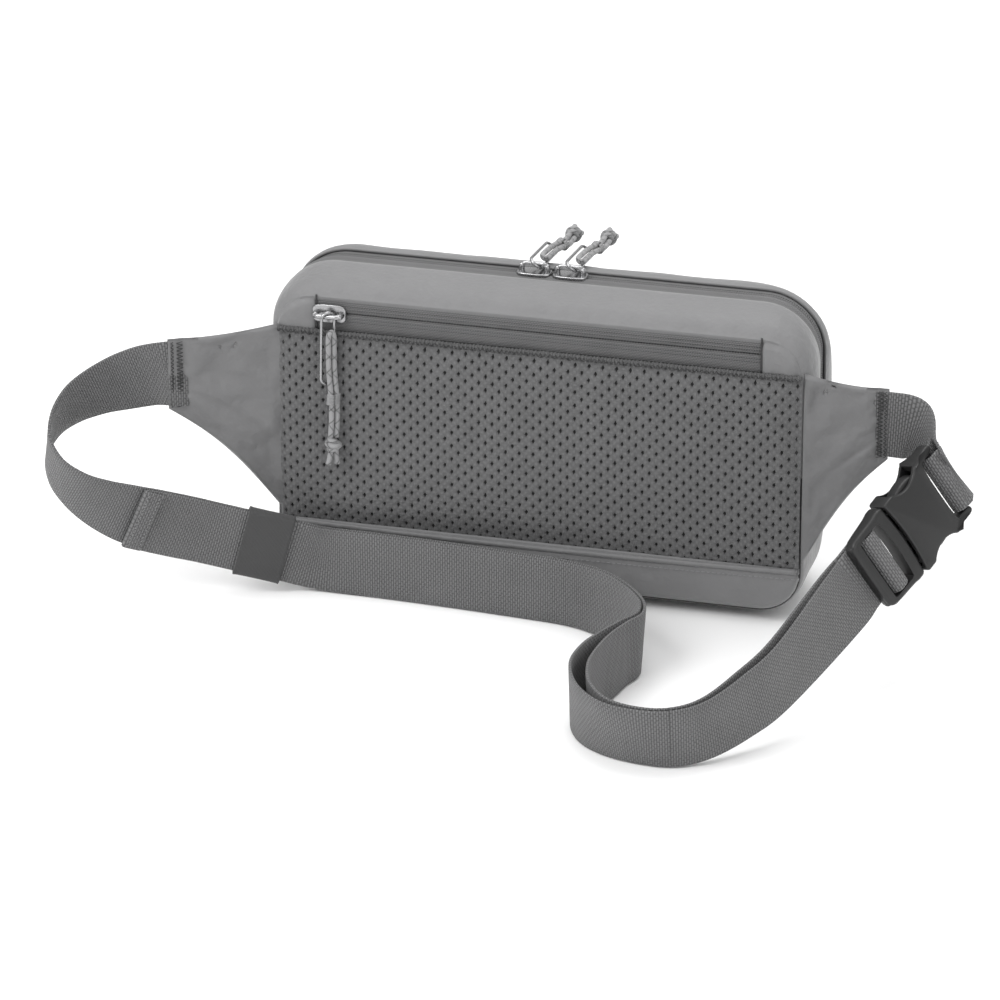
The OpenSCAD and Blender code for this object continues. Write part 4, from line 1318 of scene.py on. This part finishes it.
left_low = box("wing_left")[0]
right_high = box("wing_right")[1]
web_mid = high_seam - 0.038
wing("wing_left_cloth", "wing_left", -1, (left_low.x / mm, left_low.y / mm + 1.2))
wing("wing_right_cloth", "wing_right", 1, (right_high.x / mm, back_y / mm + 4))
print("wings made, webbing leaves them at", round(web_mid / mm), "mm")

# %% [markdown]
# ## The belt
# The belt is one long piece of webbing. From the left wing it loops back to the front, runs along the ground,
# turns a bend, climbs to the buckle, goes round the ladder's middle bar and comes back beside itself as the
# tail. Its route is a list of stops: the middle of the web, the direction of its upper edge, and the gap to the
# second layer. These are the plain solids' own stops, in millimetres.

# %% Stops of the belt
lie = 16.2
up = (0, 0, 1)
loop_stops = [((-171, -52, 104), (-0.2, 0, 1), 0), ((-182, -49.5, 101), (-0.25, -0.15, 0.95), 0),
    ((-194, -51, 97), (-0.2, -0.3, 0.93), 0),
    ((-205, -55, 93), (-0.15, -0.5, 0.87), 0), ((-214.5, -61, 88), (0, -0.6, 0.8), 0),
    ((-221, -69, 81), (0.15, -0.7, 0.7), 0),
    ((-222, -78, 72.5), (0.3, -0.7, 0.7), 0), ((-216, -84.5, 63.5), (0.4, -0.6, 0.7), 0),
    ((-206, -86.5, 56), (0.45, -0.45, 0.77), 0),
    ((-195, -85, 50), (0.45, -0.25, 0.85), 2)]
front_stops = [((-184, -81.5, 45), (0.4, -0.05, 0.9), 2), ((-174, -76, 40.5), (0.35, 0.05, 0.93), 2),
    ((-163, -69, 35.7), (0.3, 0.05, 0.94), 2),
    ((-152, -63, 31.5), (0.25, 0, 0.96), 2), ((-134, -57.7, 26.5), (0.25, 0, 0.96), 2),
    ((-116, -52.3, 21.6), (0.25, 0, 0.96), 2),
    ((-98, -47, 16.6), (0.25, 0, 0.96), 2), ((-70, -47, lie), (0.05, 0, 1), 2), ((-35, -49, lie), up, 2)]
bend_stops = [((0, -52, lie), up, 2), ((20, -54.5, lie), up, 2), ((36, -60, lie), (0.1, 0, 1), 2),
    ((50.5, -71, lie), (0.1, 0, 1), 2),
    ((63, -87, lie), (0.08, 0, 1), 2), ((66.5, -101, lie), (0.05, 0, 1), 2.5), ((62.5, -113, lie), up, 3.5),
    ((59, -127, lie), (-0.05, 0, 1), 5.5),
    ((56, -141, lie), (0, -0.05, 1), 7.5), ((56, -157, lie), (0, -0.1, 1), 8),
    ((61, -173, lie), (0, -0.2, 1), 6),
    ((72, -185.5, lie), (0, -0.3, 0.97), 3.5), ((86, -191, lie), (0, -0.3, 0.97), 2.2)]
run_stops = [((101, -190, lie), (0, -0.25, 0.97), 2.2), ((114, -181.5, 18), (0, -0.2, 1), 3),
    ((126.5, -166, 23.5), (-0.05, -0.1, 1), 4.5),
    ((139, -147, 31.5), (-0.1, 0, 1), 5)]
print("stops of the belt", len(loop_stops) + len(front_stops) + len(bend_stops) + len(run_stops))

# %% [markdown]
# The buckle has its own directions: along it from the web bar to the plug's end, across the web, and outwards.
# They come from its joints, so the webbing and the buckle follow the frame.

# %% The buckle's frame
buckle_x = Vector(joint["buckle_release"]["axis"]).normalized()
buckle_z = Vector(joint["latch_lower"]["axis"]).normalized()
buckle_y = buckle_z.cross(buckle_x).normalized()
arm_roots = (Vector(joint["latch_upper"]["pos_m"]) + Vector(joint["latch_lower"]["pos_m"])) / 2
buckle_at = arm_roots - buckle_x * 36.55 * mm
buckle_m = Matrix.Translation(buckle_at) @ Matrix((buckle_x, buckle_y,
    buckle_z)).transposed().to_4x4() @ Matrix.Scale(mm, 4)
web_across = -buckle_y

def on_buckle(x, z, y=0.0):
    return buckle_m @ Vector((x, y, z))

ladder_stops = [(65.9, -6.3), (58.4, -6.2), (50, -5.6), (47.6, -3.6), (47.6, 0.6), (49.6, 3), (52, 3.4),
    (54.4, 3), (56.2, 0.6), (56.2, -1.6),
    (60.2, -3.5), (62.9, -3.7), (65.9, -3.7)]
print("buckle at", [round(v / mm, 1) for v in buckle_at])

# %% [markdown]
# Webbing is a flat tube with soft edges, swept along its route. At each point the width direction is squared to
# the way, as the plain solids do it, so both agree.

# %% Sweeping webbing
web_w, web_t = 32 * mm, 1.5 * mm
section = [(-0.5, 0.2), (-0.485, 0.45), (-0.3, 0.5), (-0.1, 0.48), (0.1, 0.48), (0.3, 0.5), (0.485, 0.45),
    (0.5, 0.2)]
section += [(a, -b) for a, b in reversed(section)]

def stations(places, ups):
    """The middle, the width direction and the face direction at each point of a route."""
    out = []
    for i, p in enumerate(places):
        t = way(places, i)
        u = (ups[i] - t * ups[i].dot(t)).normalized()
        out.append((p, u, t.cross(u)))
    return out

def layer(rows, gaps):
    """The second layer beside a route, as places."""
    return [p + f * g for (p, u, f), g in zip(rows, gaps)]

def sweep(name, places, ups, width=web_w, thick=web_t):
    rows = []
    for p, u, f in stations(places, ups):
        rows.append([p + u * a * width + f * b * thick for a, b in section])
    obj = sheet_mesh(name, rows, around=True, caps=True)
    if sum(q.normal.dot(q.center - places[len(places) // 2])
            for q in obj.data.polygons[len(obj.data.polygons) // 2 - 8: len(obj.data.polygons) // 2 + 8]) < 0:
        obj.data.flip_normals()
    return obj

def spread(stops, steps):
    """Smooth places, width directions and gaps through a list of stops."""
    places = [p * mm for p in curve_through([s[0] for s in stops], steps)]
    ups = curve_through([s[1] for s in stops], steps)
    gaps = [g.x * mm for g in curve_through([(s[2], 0, 0) for s in stops], steps)]
    return places, ups, gaps

# %% The belt from the left wing to the climb
steps = 9
all_stops = loop_stops + front_stops + bend_stops + run_stops + [(tuple(on_buckle(79.4, -7.5) / mm),
    tuple(web_across), 4.5), (tuple(on_buckle(65.9, -6.3) / mm), tuple(web_across), 2.6)]
places, ups, gaps = spread(all_stops, steps)
first_front = len(loop_stops) * steps
first_run = (len(loop_stops) + len(front_stops) + len(bend_stops)) * steps
wing_way = Vector((-45.4, -23.6, 0)).normalized()
inside = [Vector(loop_stops[0][0]) * mm - wing_way * d * mm for d in (9, 6, 3)]
main = sweep("belt_webbing_main", inside + places[:first_run + 1], [ups[0]] * 3 + ups[:first_run + 1])
paint(main, webbing)
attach(main, "pack")
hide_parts("strap_loop", "strap_front", "strap_bend")
length = sum((a - b).length for a, b in zip(places[:first_run], places[1:first_run + 1]))
print("belt to the climb", round(length / mm), "mm")

# %% [markdown]
# The tail's end is a hem: the web is folded over on the outer side and sewn down with two rows of stitches.
# It is swept in one piece with the tail, from the hem's raw edge, round the fold and on beside the belt.

# %% The tail and its hem
rows = stations(places, ups)
second = layer(rows, gaps)
start = first_front + steps // 3
tail_places, tail_ups = second[start:first_run + 1], ups[start:first_run + 1]
tail_faces = [f for p, u, f in rows][start:first_run + 1]
hem, run, k = [], 0.0, 0
hem_line = even(tail_places[:12], 0.8 * mm)
hem_face = tail_faces[0]
fold_r = 0.5 * (web_t + 0.12 * mm)
for p in reversed(hem_line):
    s = (p - hem_line[0]).length
    if 1.0 * mm < s < 9 * mm:
        hem.append(p + hem_face * 2 * fold_r)
t0 = (hem_line[1] - hem_line[0]).normalized()
turn = [hem_line[0] + t0 * 0.9 * mm + hem_face * fold_r + fold_r * (hem_face * math.cos(a) - t0 * math.sin(a))
    for a in (math.pi * q / 8 for q in range(1, 8))]
rest = [p for p in tail_places if (p - hem_line[0]).length > 1.2 * mm or p in tail_places[3:]]
hem_ups = [tail_ups[0]] * (len(hem) + len(turn))
tail = sweep("belt_webbing_tail", hem + turn + rest, hem_ups + tail_ups[len(tail_ups) - len(rest):])
paint(tail, webbing)
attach(tail, "pack")
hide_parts("tail_front", "tail_bend", "tail_hem")
rows_of = []
for s in (2.0, 7.4):
    c = hem_line[0] + t0 * s * mm + hem_face * (2 * fold_r + web_t / 2)
    rows_of.append(stitches("row",
        [c - tail_ups[0].normalized() * 15 * mm, c + tail_ups[0].normalized() * 15 * mm], hem_face, 2.0, 1.4,
        0.5, 0.05))
hem_stitches = paint(join("tail_hem_stitches", rows_of), thread)
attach(hem_stitches, "pack")
print("tail of", round(sum((a - b).length for a, b in zip(rest, rest[1:])) / mm), "mm beside the belt")

# %% [markdown]
# From the climb to the buckle the web has to follow the plug when it is drawn out. This stretch, the loop round
# the ladder's bars and the start of the tail are swept as one piece, set in place once.

# %% The turn at the buckle
to_buckle, to_ups = places[first_run:-1], ups[first_run:-1]
back_from = second[first_run:-1]
ladder = [on_buckle(x, z) for x, z in ladder_stops]
ladder_line = curve_through(ladder, 5)
turn_places = to_buckle + ladder_line + list(reversed(back_from))
turn_ups = to_ups + [web_across] * len(ladder_line) + list(reversed(to_ups))
turn_piece = sweep("belt_webbing_turn", turn_places, turn_ups)
paint(turn_piece, webbing)
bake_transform(turn_piece)
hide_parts("strap_run", "strap_ladder_loop", "tail_run")
print("turn made")

# %% [markdown]
# ### Short strap
# A short piece of the same webbing comes out of the right wing, goes round the socket's bar and is sewn back on
# itself.

# %% Short strap
short_stops = [(155, -26.5, 104), (160, -26.2, 104), (164, -26, 104), (175, -25.8, 103), (184, -29, 99),
    (191, -34.5, 94)]
short_line = [Vector(p) * mm for p in short_stops]
short_up = [Vector(u) for u in ((0, 0, 1), (0, 0, 1), (0, 0, 1), (-0.1, 0, 1), (-0.35, -0.1, 0.93),
    (-0.45, -0.2, 0.87))]
for x, z in ((-5, 3.4), (-1.5, 3.9), (1.6, 3.4), (3.8, 0), (1.6, -3.4), (-2, -3.4), (-6.5, -4), (-11, -6.3)):
    short_line.append(on_buckle(x, z))
    short_up.append(web_across)
short_places, short_ups = curve_through(short_line, 6), curve_through(short_up, 6)
short = sweep("short_strap_webbing", short_places, short_ups)
paint(short, webbing)
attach(short, "pack")
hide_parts("short_strap")
sew = []
short_rows = stations(short_places, short_ups)
for i in (30, 32):
    p, u, f = short_rows[i]
    for side in (-1, 1):
        c = p + f * side * (web_t / 2 + 0.0001)
        sew.append(stitches("row", [c - u * 14.2 * mm, c + u * 14.2 * mm], f * side, 1.8, 1.2, 0.45, 0.0))
short_sew = paint(join("short_strap_stitches", sew), dark_thread_and_shadow)
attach(short_sew, "pack")
print("short strap made")

# %% [markdown]
# ### Elastic keeper
# The keeper is a knitted elastic sleeve that holds the tail against the belt. It hugs both layers, so its sides
# are nearly flat and its ends are tight round curves. Its lips are a little thicker than its middle.

# %% Keeper
keeper_way = Vector(joint["keeper_slide"]["axis"]).normalized()
k_from, k_to = Vector(front_stops[4][0]) * mm, Vector(front_stops[5][0]) * mm
k_up = Vector(front_stops[4][1])
k_up = (k_up - keeper_way * k_up.dot(keeper_way)).normalized()
k_face = keeper_way.cross(k_up)
k_mid = (k_from + k_to) / 2 + k_face * mm
def sleeve(s, grow):
    """One ring of the sleeve at s metres along it."""
    half_t, half_h, n = 2.75 * mm + grow, 16.7 * mm + grow, 28
    ring = []
    for i in range(2 * n):
        a = math.pi * (i + 0.5) / n
        c, q = math.cos(a), math.sin(a)
        ring.append(k_mid + keeper_way * s + k_face * half_t * math.copysign(abs(c) ** 0.55, c) + k_up * half_h
            * math.copysign(abs(q) ** 0.22, q))
    return ring
rings = []
for f in [-1 + 2 * i / 16 for i in range(17)]:
    lip = 0.00018 * math.exp(-((1 - abs(f)) / 0.08) ** 2)
    rings.append(sleeve(f * 10.9 * mm, 0.9 * mm - 0.00012 * (1 - f * f) + lip))
outer = rings
inner = [sleeve(f * 10.9 * mm, 0.0) for f in [1 - 2 * i / 16 for i in range(17)]]
edge_out = [sleeve(11.1 * mm, 0.45 * mm)]
edge_back = [sleeve(-11.1 * mm, 0.45 * mm)]
keeper = sheet_mesh("keeper_sleeve", edge_back + outer + edge_out + inner + edge_back, around=True)
face_out(keeper, 0.00001)
paint(keeper, elastic)
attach(keeper, "keeper")
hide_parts("strap_keeper")
print("keeper made")

# %% [markdown]
# ## The buckle
# The buckle is moulded plastic in two parts. The socket is a flat box with hollowed sides, through which
# the two latch buttons of the plug show. The plug carries the ladder that grips the web. Each is started
# from a flat outline, extruded, bevelled and cut, in the buckle's own millimetres, and set in place at the
# end.

# %% Solids from outlines
def slab(name, outline, thick, soft, segments=3):
    """An outline in X and Y, extruded evenly about z = 0 and bevelled; sizes in millimetres."""
    bpy.ops.object.select_all(action="DESELECT")
    bpy.ops.mesh.primitive_circle_add(vertices=len(outline), radius=1, fill_type="NGON", location=(0, 0, 0))
    obj = bpy.context.object
    obj.name = name
    area = sum(a[0] * b[1] - b[0] * a[1] for a, b in zip(outline, outline[1:] + outline[:1]))
    points = outline if area > 0 else list(reversed(outline))
    order = obj.data.polygons[0].vertices[:]
    if obj.data.polygons[0].normal.z < 0:
        order = list(reversed(order))
    for index, (x, y) in zip(order, points):
        obj.data.vertices[index].co = (x, y, -thick / 2)
    bpy.ops.object.mode_set(mode="EDIT")
    bpy.ops.mesh.select_all(action="SELECT")
    bpy.ops.mesh.extrude_region_move(TRANSFORM_OT_translate={"value": (0, 0, thick)})
    bpy.ops.mesh.select_all(action="SELECT")
    bpy.ops.mesh.normals_make_consistent(inside=False)
    bpy.ops.object.mode_set(mode="OBJECT")
    if soft:
        add_modifier(obj, "BEVEL", width=soft, segments=segments, limit_method="ANGLE",
            angle_limit=math.radians(35))
    return obj

def block(low, high, soft=0.0):
    """A box between two corners, in millimetres."""
    bpy.ops.object.select_all(action="DESELECT")
    size = [b - a for a, b in zip(low, high)]
    bpy.ops.mesh.primitive_cube_add(size=1, location=[(a + b) / 2 for a, b in zip(low, high)], scale=size)
    bpy.ops.object.transform_apply(location=True, rotation=True, scale=True)
    obj = bpy.context.object
    if soft:
        add_modifier(obj, "BEVEL", width=soft, segments=3)
    return obj

def rod(x, z, r, half, y=0.0):
    """A rounded bar across the web."""
    bpy.ops.object.select_all(action="DESELECT")
    bpy.ops.mesh.primitive_cylinder_add(vertices=32, radius=r, depth=2 * half, location=(x, y, z),
        rotation=(math.pi / 2, 0, 0))
    bpy.ops.object.transform_apply(location=True, rotation=True, scale=True)
    obj = bpy.context.object
    return add_modifier(obj, "BEVEL", width=r * 0.4, segments=3, limit_method="ANGLE")

def cut(obj, tool, kind="DIFFERENCE"):
    """Cuts one solid with another and removes the tool."""
    add_modifier(obj, "BOOLEAN", object=tool, operation=kind, solver="EXACT")
    bpy.data.objects.remove(tool)
    return obj

def seat(obj, matrix, finish, slot, body, *nodes):
    """Puts a finished solid in its place, in its mesh."""
    obj.data.transform(matrix)
    obj.data.update()
    for p in obj.data.polygons:
        p.use_smooth = True
    only(obj)
    bpy.ops.object.shade_smooth_by_angle(angle=math.radians(32))
    paint(obj, finish)
    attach(obj, body)
    if nodes:
        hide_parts(*nodes)
    return obj

# %% [markdown]
# ### Socket
# Its outline is an hourglass with two ears that hold the web bar. The ears are thinner than the box, the
# mouth is a shallow curve, and the sides are open where the buttons come through.

# %% Socket
half_b = 20.5
def scallop(from_x, to_x, n=14):
    centre, r = ((from_x + to_x) / 2, half_b + 9), 13
    reach = math.degrees(math.acos(9 / 13))
    return [(centre[0] + r * math.sin(math.radians(a)), centre[1] - r * math.cos(math.radians(a)))
        for a in [reach - 2 * reach * i / n for i in range(n + 1)]]

mouth = [(38 - 1.7 * (1 - (y / half_b) ** 2), y) for y in (0, 4, 8, 12, 16, 19.2)]
side = [(37.6, 20.2), (36.4, half_b)] + scallop(12, 32) + [(10.5, half_b), (5, 20.6), (0.5, 20.9), (-1.9, 20.6),
    (-2.6, 19.4), (-2.4, 17.6), (-0.5, 16.9), (5.5, 16.8), (7.2, 16.0), (8, 14.2)]
half_outline = mouth + side + [(8.6, 8), (8.8, 0)]
socket_outline = half_outline + [(x, -y) for x, y in reversed(half_outline[1:-1])]
socket = slab("buckle_socket_body", socket_outline, 11, 0.0)
for v in socket.data.vertices:
    thin = 1 - ease(4, 11, v.co.x)
    v.co.z *= 1 - 0.42 * thin
    v.co.z += 0.35 * (1 if v.co.z > 0 else -1) * (1 - (v.co.y / half_b) ** 2) * (1 - thin)
add_modifier(socket, "BEVEL", width=1.1, segments=4, limit_method="ANGLE", angle_limit=math.radians(40))
cut(socket, block((10, -17.4, -3.5), (42, 17.4, 3.5)))
cut(socket, block((12, -26, -3.5), (32, 26, 3.5)))
bar = rod(0, 0, 2.0, 18.6)
socket = join("buckle_socket_body", [socket, bar])
seat(socket, buckle_m, plastic, "buckle_plastic", "pack", "buckle_socket")
print("socket", len(socket.data.vertices), "points")

# %% [markdown]
# ### Plug
# The plug is a frame: a curved shoulder that closes the socket's mouth, two rails that taper to a thick
# round end bar, and a thinner bar in the middle that the web goes over. A tongue keeps it straight in the
# socket.

# %% Plug
shoulder = [(38.6 - 1.6 * (1 - (y / half_b) ** 2), y) for y in (0, 4, 8, 12, 16, 19.4)]
rail = [(39.6, half_b), (43, 20.5), (46, 19.9), (50, 19.7), (55, 19.6), (60, 19.2), (62.4, 18.4), (63.6, 16.4),
    (63.9, 10)]
half_outline = shoulder + rail + [(64, 0)]
plug_outline = half_outline + [(x, -y) for x, y in reversed(half_outline[1:-1])]
plug = slab("buckle_plug_body", plug_outline, 8, 0.0)
for v in plug.data.vertices:
    v.co.z *= 1 - 0.22 * ease(42, 62, v.co.x)
add_modifier(plug, "BEVEL", width=1.9, segments=5, limit_method="ANGLE", angle_limit=math.radians(40))
window = [(44.8 - 1.3 * (1 - (y / 16.6) ** 2), y) for y in (0, 5, 10, 14, 16.0)] + [(46, 16.6), (58, 16.6),
    (58.8, 15.8), (59.0, 10), (59.0, 0)]
window = window + [(x, -y) for x, y in reversed(window[1:-1])]
cut(plug, slab("window", window, 14, 0.0))
plug = join("buckle_plug_body",
    [plug, rod(52, 0.4, 1.6, 18.2), rod(61.4, 0, 2.45, 17.8), block((15, -3.4, -1.9), (39, 3.4, 1.9), 0.6)])
seat(plug, buckle_m, plastic, "buckle_plastic", "plug", "buckle_plug")
print("plug", len(plug.data.vertices), "points")

# %% [markdown]
# ### Latch arms
# Each arm is a springy strip that ends in a broad rounded button. The fingers press the two buttons together to
# let the plug slide out.

# %% Arms
arm_outline = [(37.0, 13.3), (37.0, 16.5), (33, 16.6), (30.5, 16.9), (28, 17.7), (25, 18.4), (21.5, 18.7),
    (18, 18.4), (15.2, 17.6), (13.4, 16.4), (12.5, 14.9), (12.6, 13.4),
    (14.5, 12.7), (18, 12.6), (22, 13.0), (28, 13.5)]
for name, side, body, node in (("latch_button_lower", 1, "arm_lower", "latch_arm_lower"),
        ("latch_button_upper", -1, "arm_upper", "latch_arm_upper")):
    arm = slab(name, [(x, side * y) for x, y in arm_outline], 6.4, 1.2, 4)
    seat(arm, buckle_m, plastic, "buckle_plastic", body, node)
print("latch arms made")

# %% [markdown]
# ## Sliders
# A slider has two plates joined at its nose, with the tapes running between them, and a bridge on top that
# holds the pull. One is modelled and copied to the four zips. It is cast metal with a dark nickel plate.

# %% One slider
plate = [(8.0, 2.4), (7.2, 3.6), (5.2, 4.3), (1.5, 4.45), (-3.0, 4.45), (-6.2, 4.0), (-7.6, 3.1), (-8.0, 1.8)]
plate = plate + [(x, -y) for x, y in reversed(plate)]
top_plate = slab("top_plate", plate, 1.5, 0.45)
top_plate.data.transform(Matrix.Translation((0, 0, 1.05)))
low_plate = slab("low_plate", plate, 1.5, 0.45)
low_plate.data.transform(Matrix.Translation((0, 0, -4.45)))
wedge = block((-7.8, -0.3, -4.4), (-4.2, 0.3, 1.4), 0.12)
arch_line = curve_through([(-6.0, 0, 1.0), (-6.2, 0, 2.6), (-5.9, 0, 4.3), (-4.6, 0, 5.35), (-2.5, 0, 5.5),
    (2.5, 0, 5.5), (4.6, 0, 5.35), (5.9, 0, 4.3), (6.2, 0, 2.6), (6.0, 0, 1.0)], 5)
arch = tube("arch", arch_line,
    [1.1 + 0.35 * ease(3.0, 6.0, abs(p.x)) * (1 if p.z < 4.6 else 0.3) for p in arch_line], 16)
slider_master = join("slider_master", [top_plate, low_plate, wedge, arch])
for layer_ in list(slider_master.data.uv_layers):
    slider_master.data.uv_layers.remove(layer_)
print("slider", len(slider_master.data.vertices), "points")

# %% Four sliders
back_turn, front_turn = Matrix.Rotation(math.pi / 2, 4, "X"), Matrix.Rotation(-math.pi / 2, 4, "X")
def middle_x(node):
    low, high = box(node)
    return (low.x + high.x) / 2
slider_places = {
    "slider_back": ("back_slider", Matrix.Translation((middle_x("back_slider"), back_y, zip_z)) @ back_turn),
    "slider_front": ("front_slider",
    Matrix.Translation((middle_x("front_slider"), face_y, front_zip_z)) @ front_turn),
    "slider_left": ("main_slider_left",
    Matrix.Translation((middle_x("main_slider_left"), 0, top_z)) @ Matrix.Rotation(math.pi, 4, "Z")),
    "slider_right": ("main_slider_right", Matrix.Translation((middle_x("main_slider_right"), 0, top_z)))}
for body, (node, m) in slider_places.items():
    piece = slider_master.copy()
    piece.data = slider_master.data.copy()
    piece.name = node + "_cast"
    bpy.context.scene.collection.objects.link(piece)
    seat(piece, m @ Matrix.Scale(mm, 4), metal, "metal", body, node)
bpy.data.objects.remove(slider_master)

# %% [markdown]
# ### Pull rings
# Each ring is a length of round wire bent to a long oval. It hangs on the slider's bridge and carries the cord.

# %% Rings
turn_r = ring_w / 2 - wire_d / 2
oval = [Vector((turn_r + (ring_l - ring_w) * i / 12, -turn_r, 0)) for i in range(13)]
oval += [Vector((turn_r + ring_l - ring_w + turn_r * math.sin(a), -turn_r * math.cos(a), 0))
    for a in (math.pi * i / 20 for i in range(1, 20))]
oval += [Vector((turn_r + (ring_l - ring_w) * (1 - i / 12), turn_r, 0)) for i in range(13)]
oval += [Vector((turn_r - turn_r * math.sin(a), turn_r * math.cos(a), 0))
    for a in (math.pi * i / 20 for i in range(1, 20))]
for which in pulls:
    m = pull_frame(which)
    n = len(oval)
    rows = []
    for i, p in enumerate(oval):
        t = (oval[(i + 1) % n] - oval[i - 1]).normalized()
        s = Vector((0, 0, 1)).cross(t)
        rows.append([m @ (p + wire_d / 2 * (math.cos(a) * s + math.sin(a) * Vector((0, 0, 1))))
            for a in (2 * math.pi * k / 12 for k in range(12))])
    wire = sheet_mesh(ring_of[which] + "_wire", rows + rows[:1], around=True)
    face_out(wire, 0.000002)
    paint(wire, metal)
    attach(wire, pulls[which])
    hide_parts(ring_of[which])
print("sliders and rings made")

# %% [markdown]
# ## Floor and light
# A plain pale floor and three large soft lights: one high on the left in front, one on the right, and one
# above.

# %% Stage
bpy.ops.object.select_all(action="DESELECT")
bpy.ops.mesh.primitive_plane_add(size=12, location=(0, 0, -0.0005))
floor = bpy.context.object
floor.name = "floor"
bpy.ops.object.transform_apply(location=True, rotation=True, scale=True)
pale = Finish("pale_floor", Roughness=0.9)
pale.shader.inputs["Base Color"].default_value = (0.93, 0.93, 0.93, 1)
floor.data.materials.append(pale.material)

def area_light(name, place, size, power):
    data = bpy.data.lights.new(name, "AREA")
    data.shape, data.size, data.energy = "SQUARE", size, power
    lamp = bpy.data.objects.new(name, data)
    lamp.location = place
    lamp.rotation_euler = (Vector((0, 0, 0.06)) - Vector(place)).to_track_quat("-Z", "Y").to_euler()
    bpy.context.scene.collection.objects.link(lamp)

area_light("key", (-1.1, -1.4, 1.9), 1.3, 34)
area_light("fill", (1.6, -1.5, 1.1), 1.6, 12)
area_light("top", (0.1, 0.5, 2.2), 1.6, 26)
world = bpy.data.worlds.new("studio")
world.use_nodes = True
world.node_tree.nodes["Background"].inputs[0].default_value = (1, 1, 1, 1)
world.node_tree.nodes["Background"].inputs[1].default_value = 0.75
bpy.context.scene.world = world
bpy.context.scene.view_settings.view_transform = "Standard"
print("stage set")
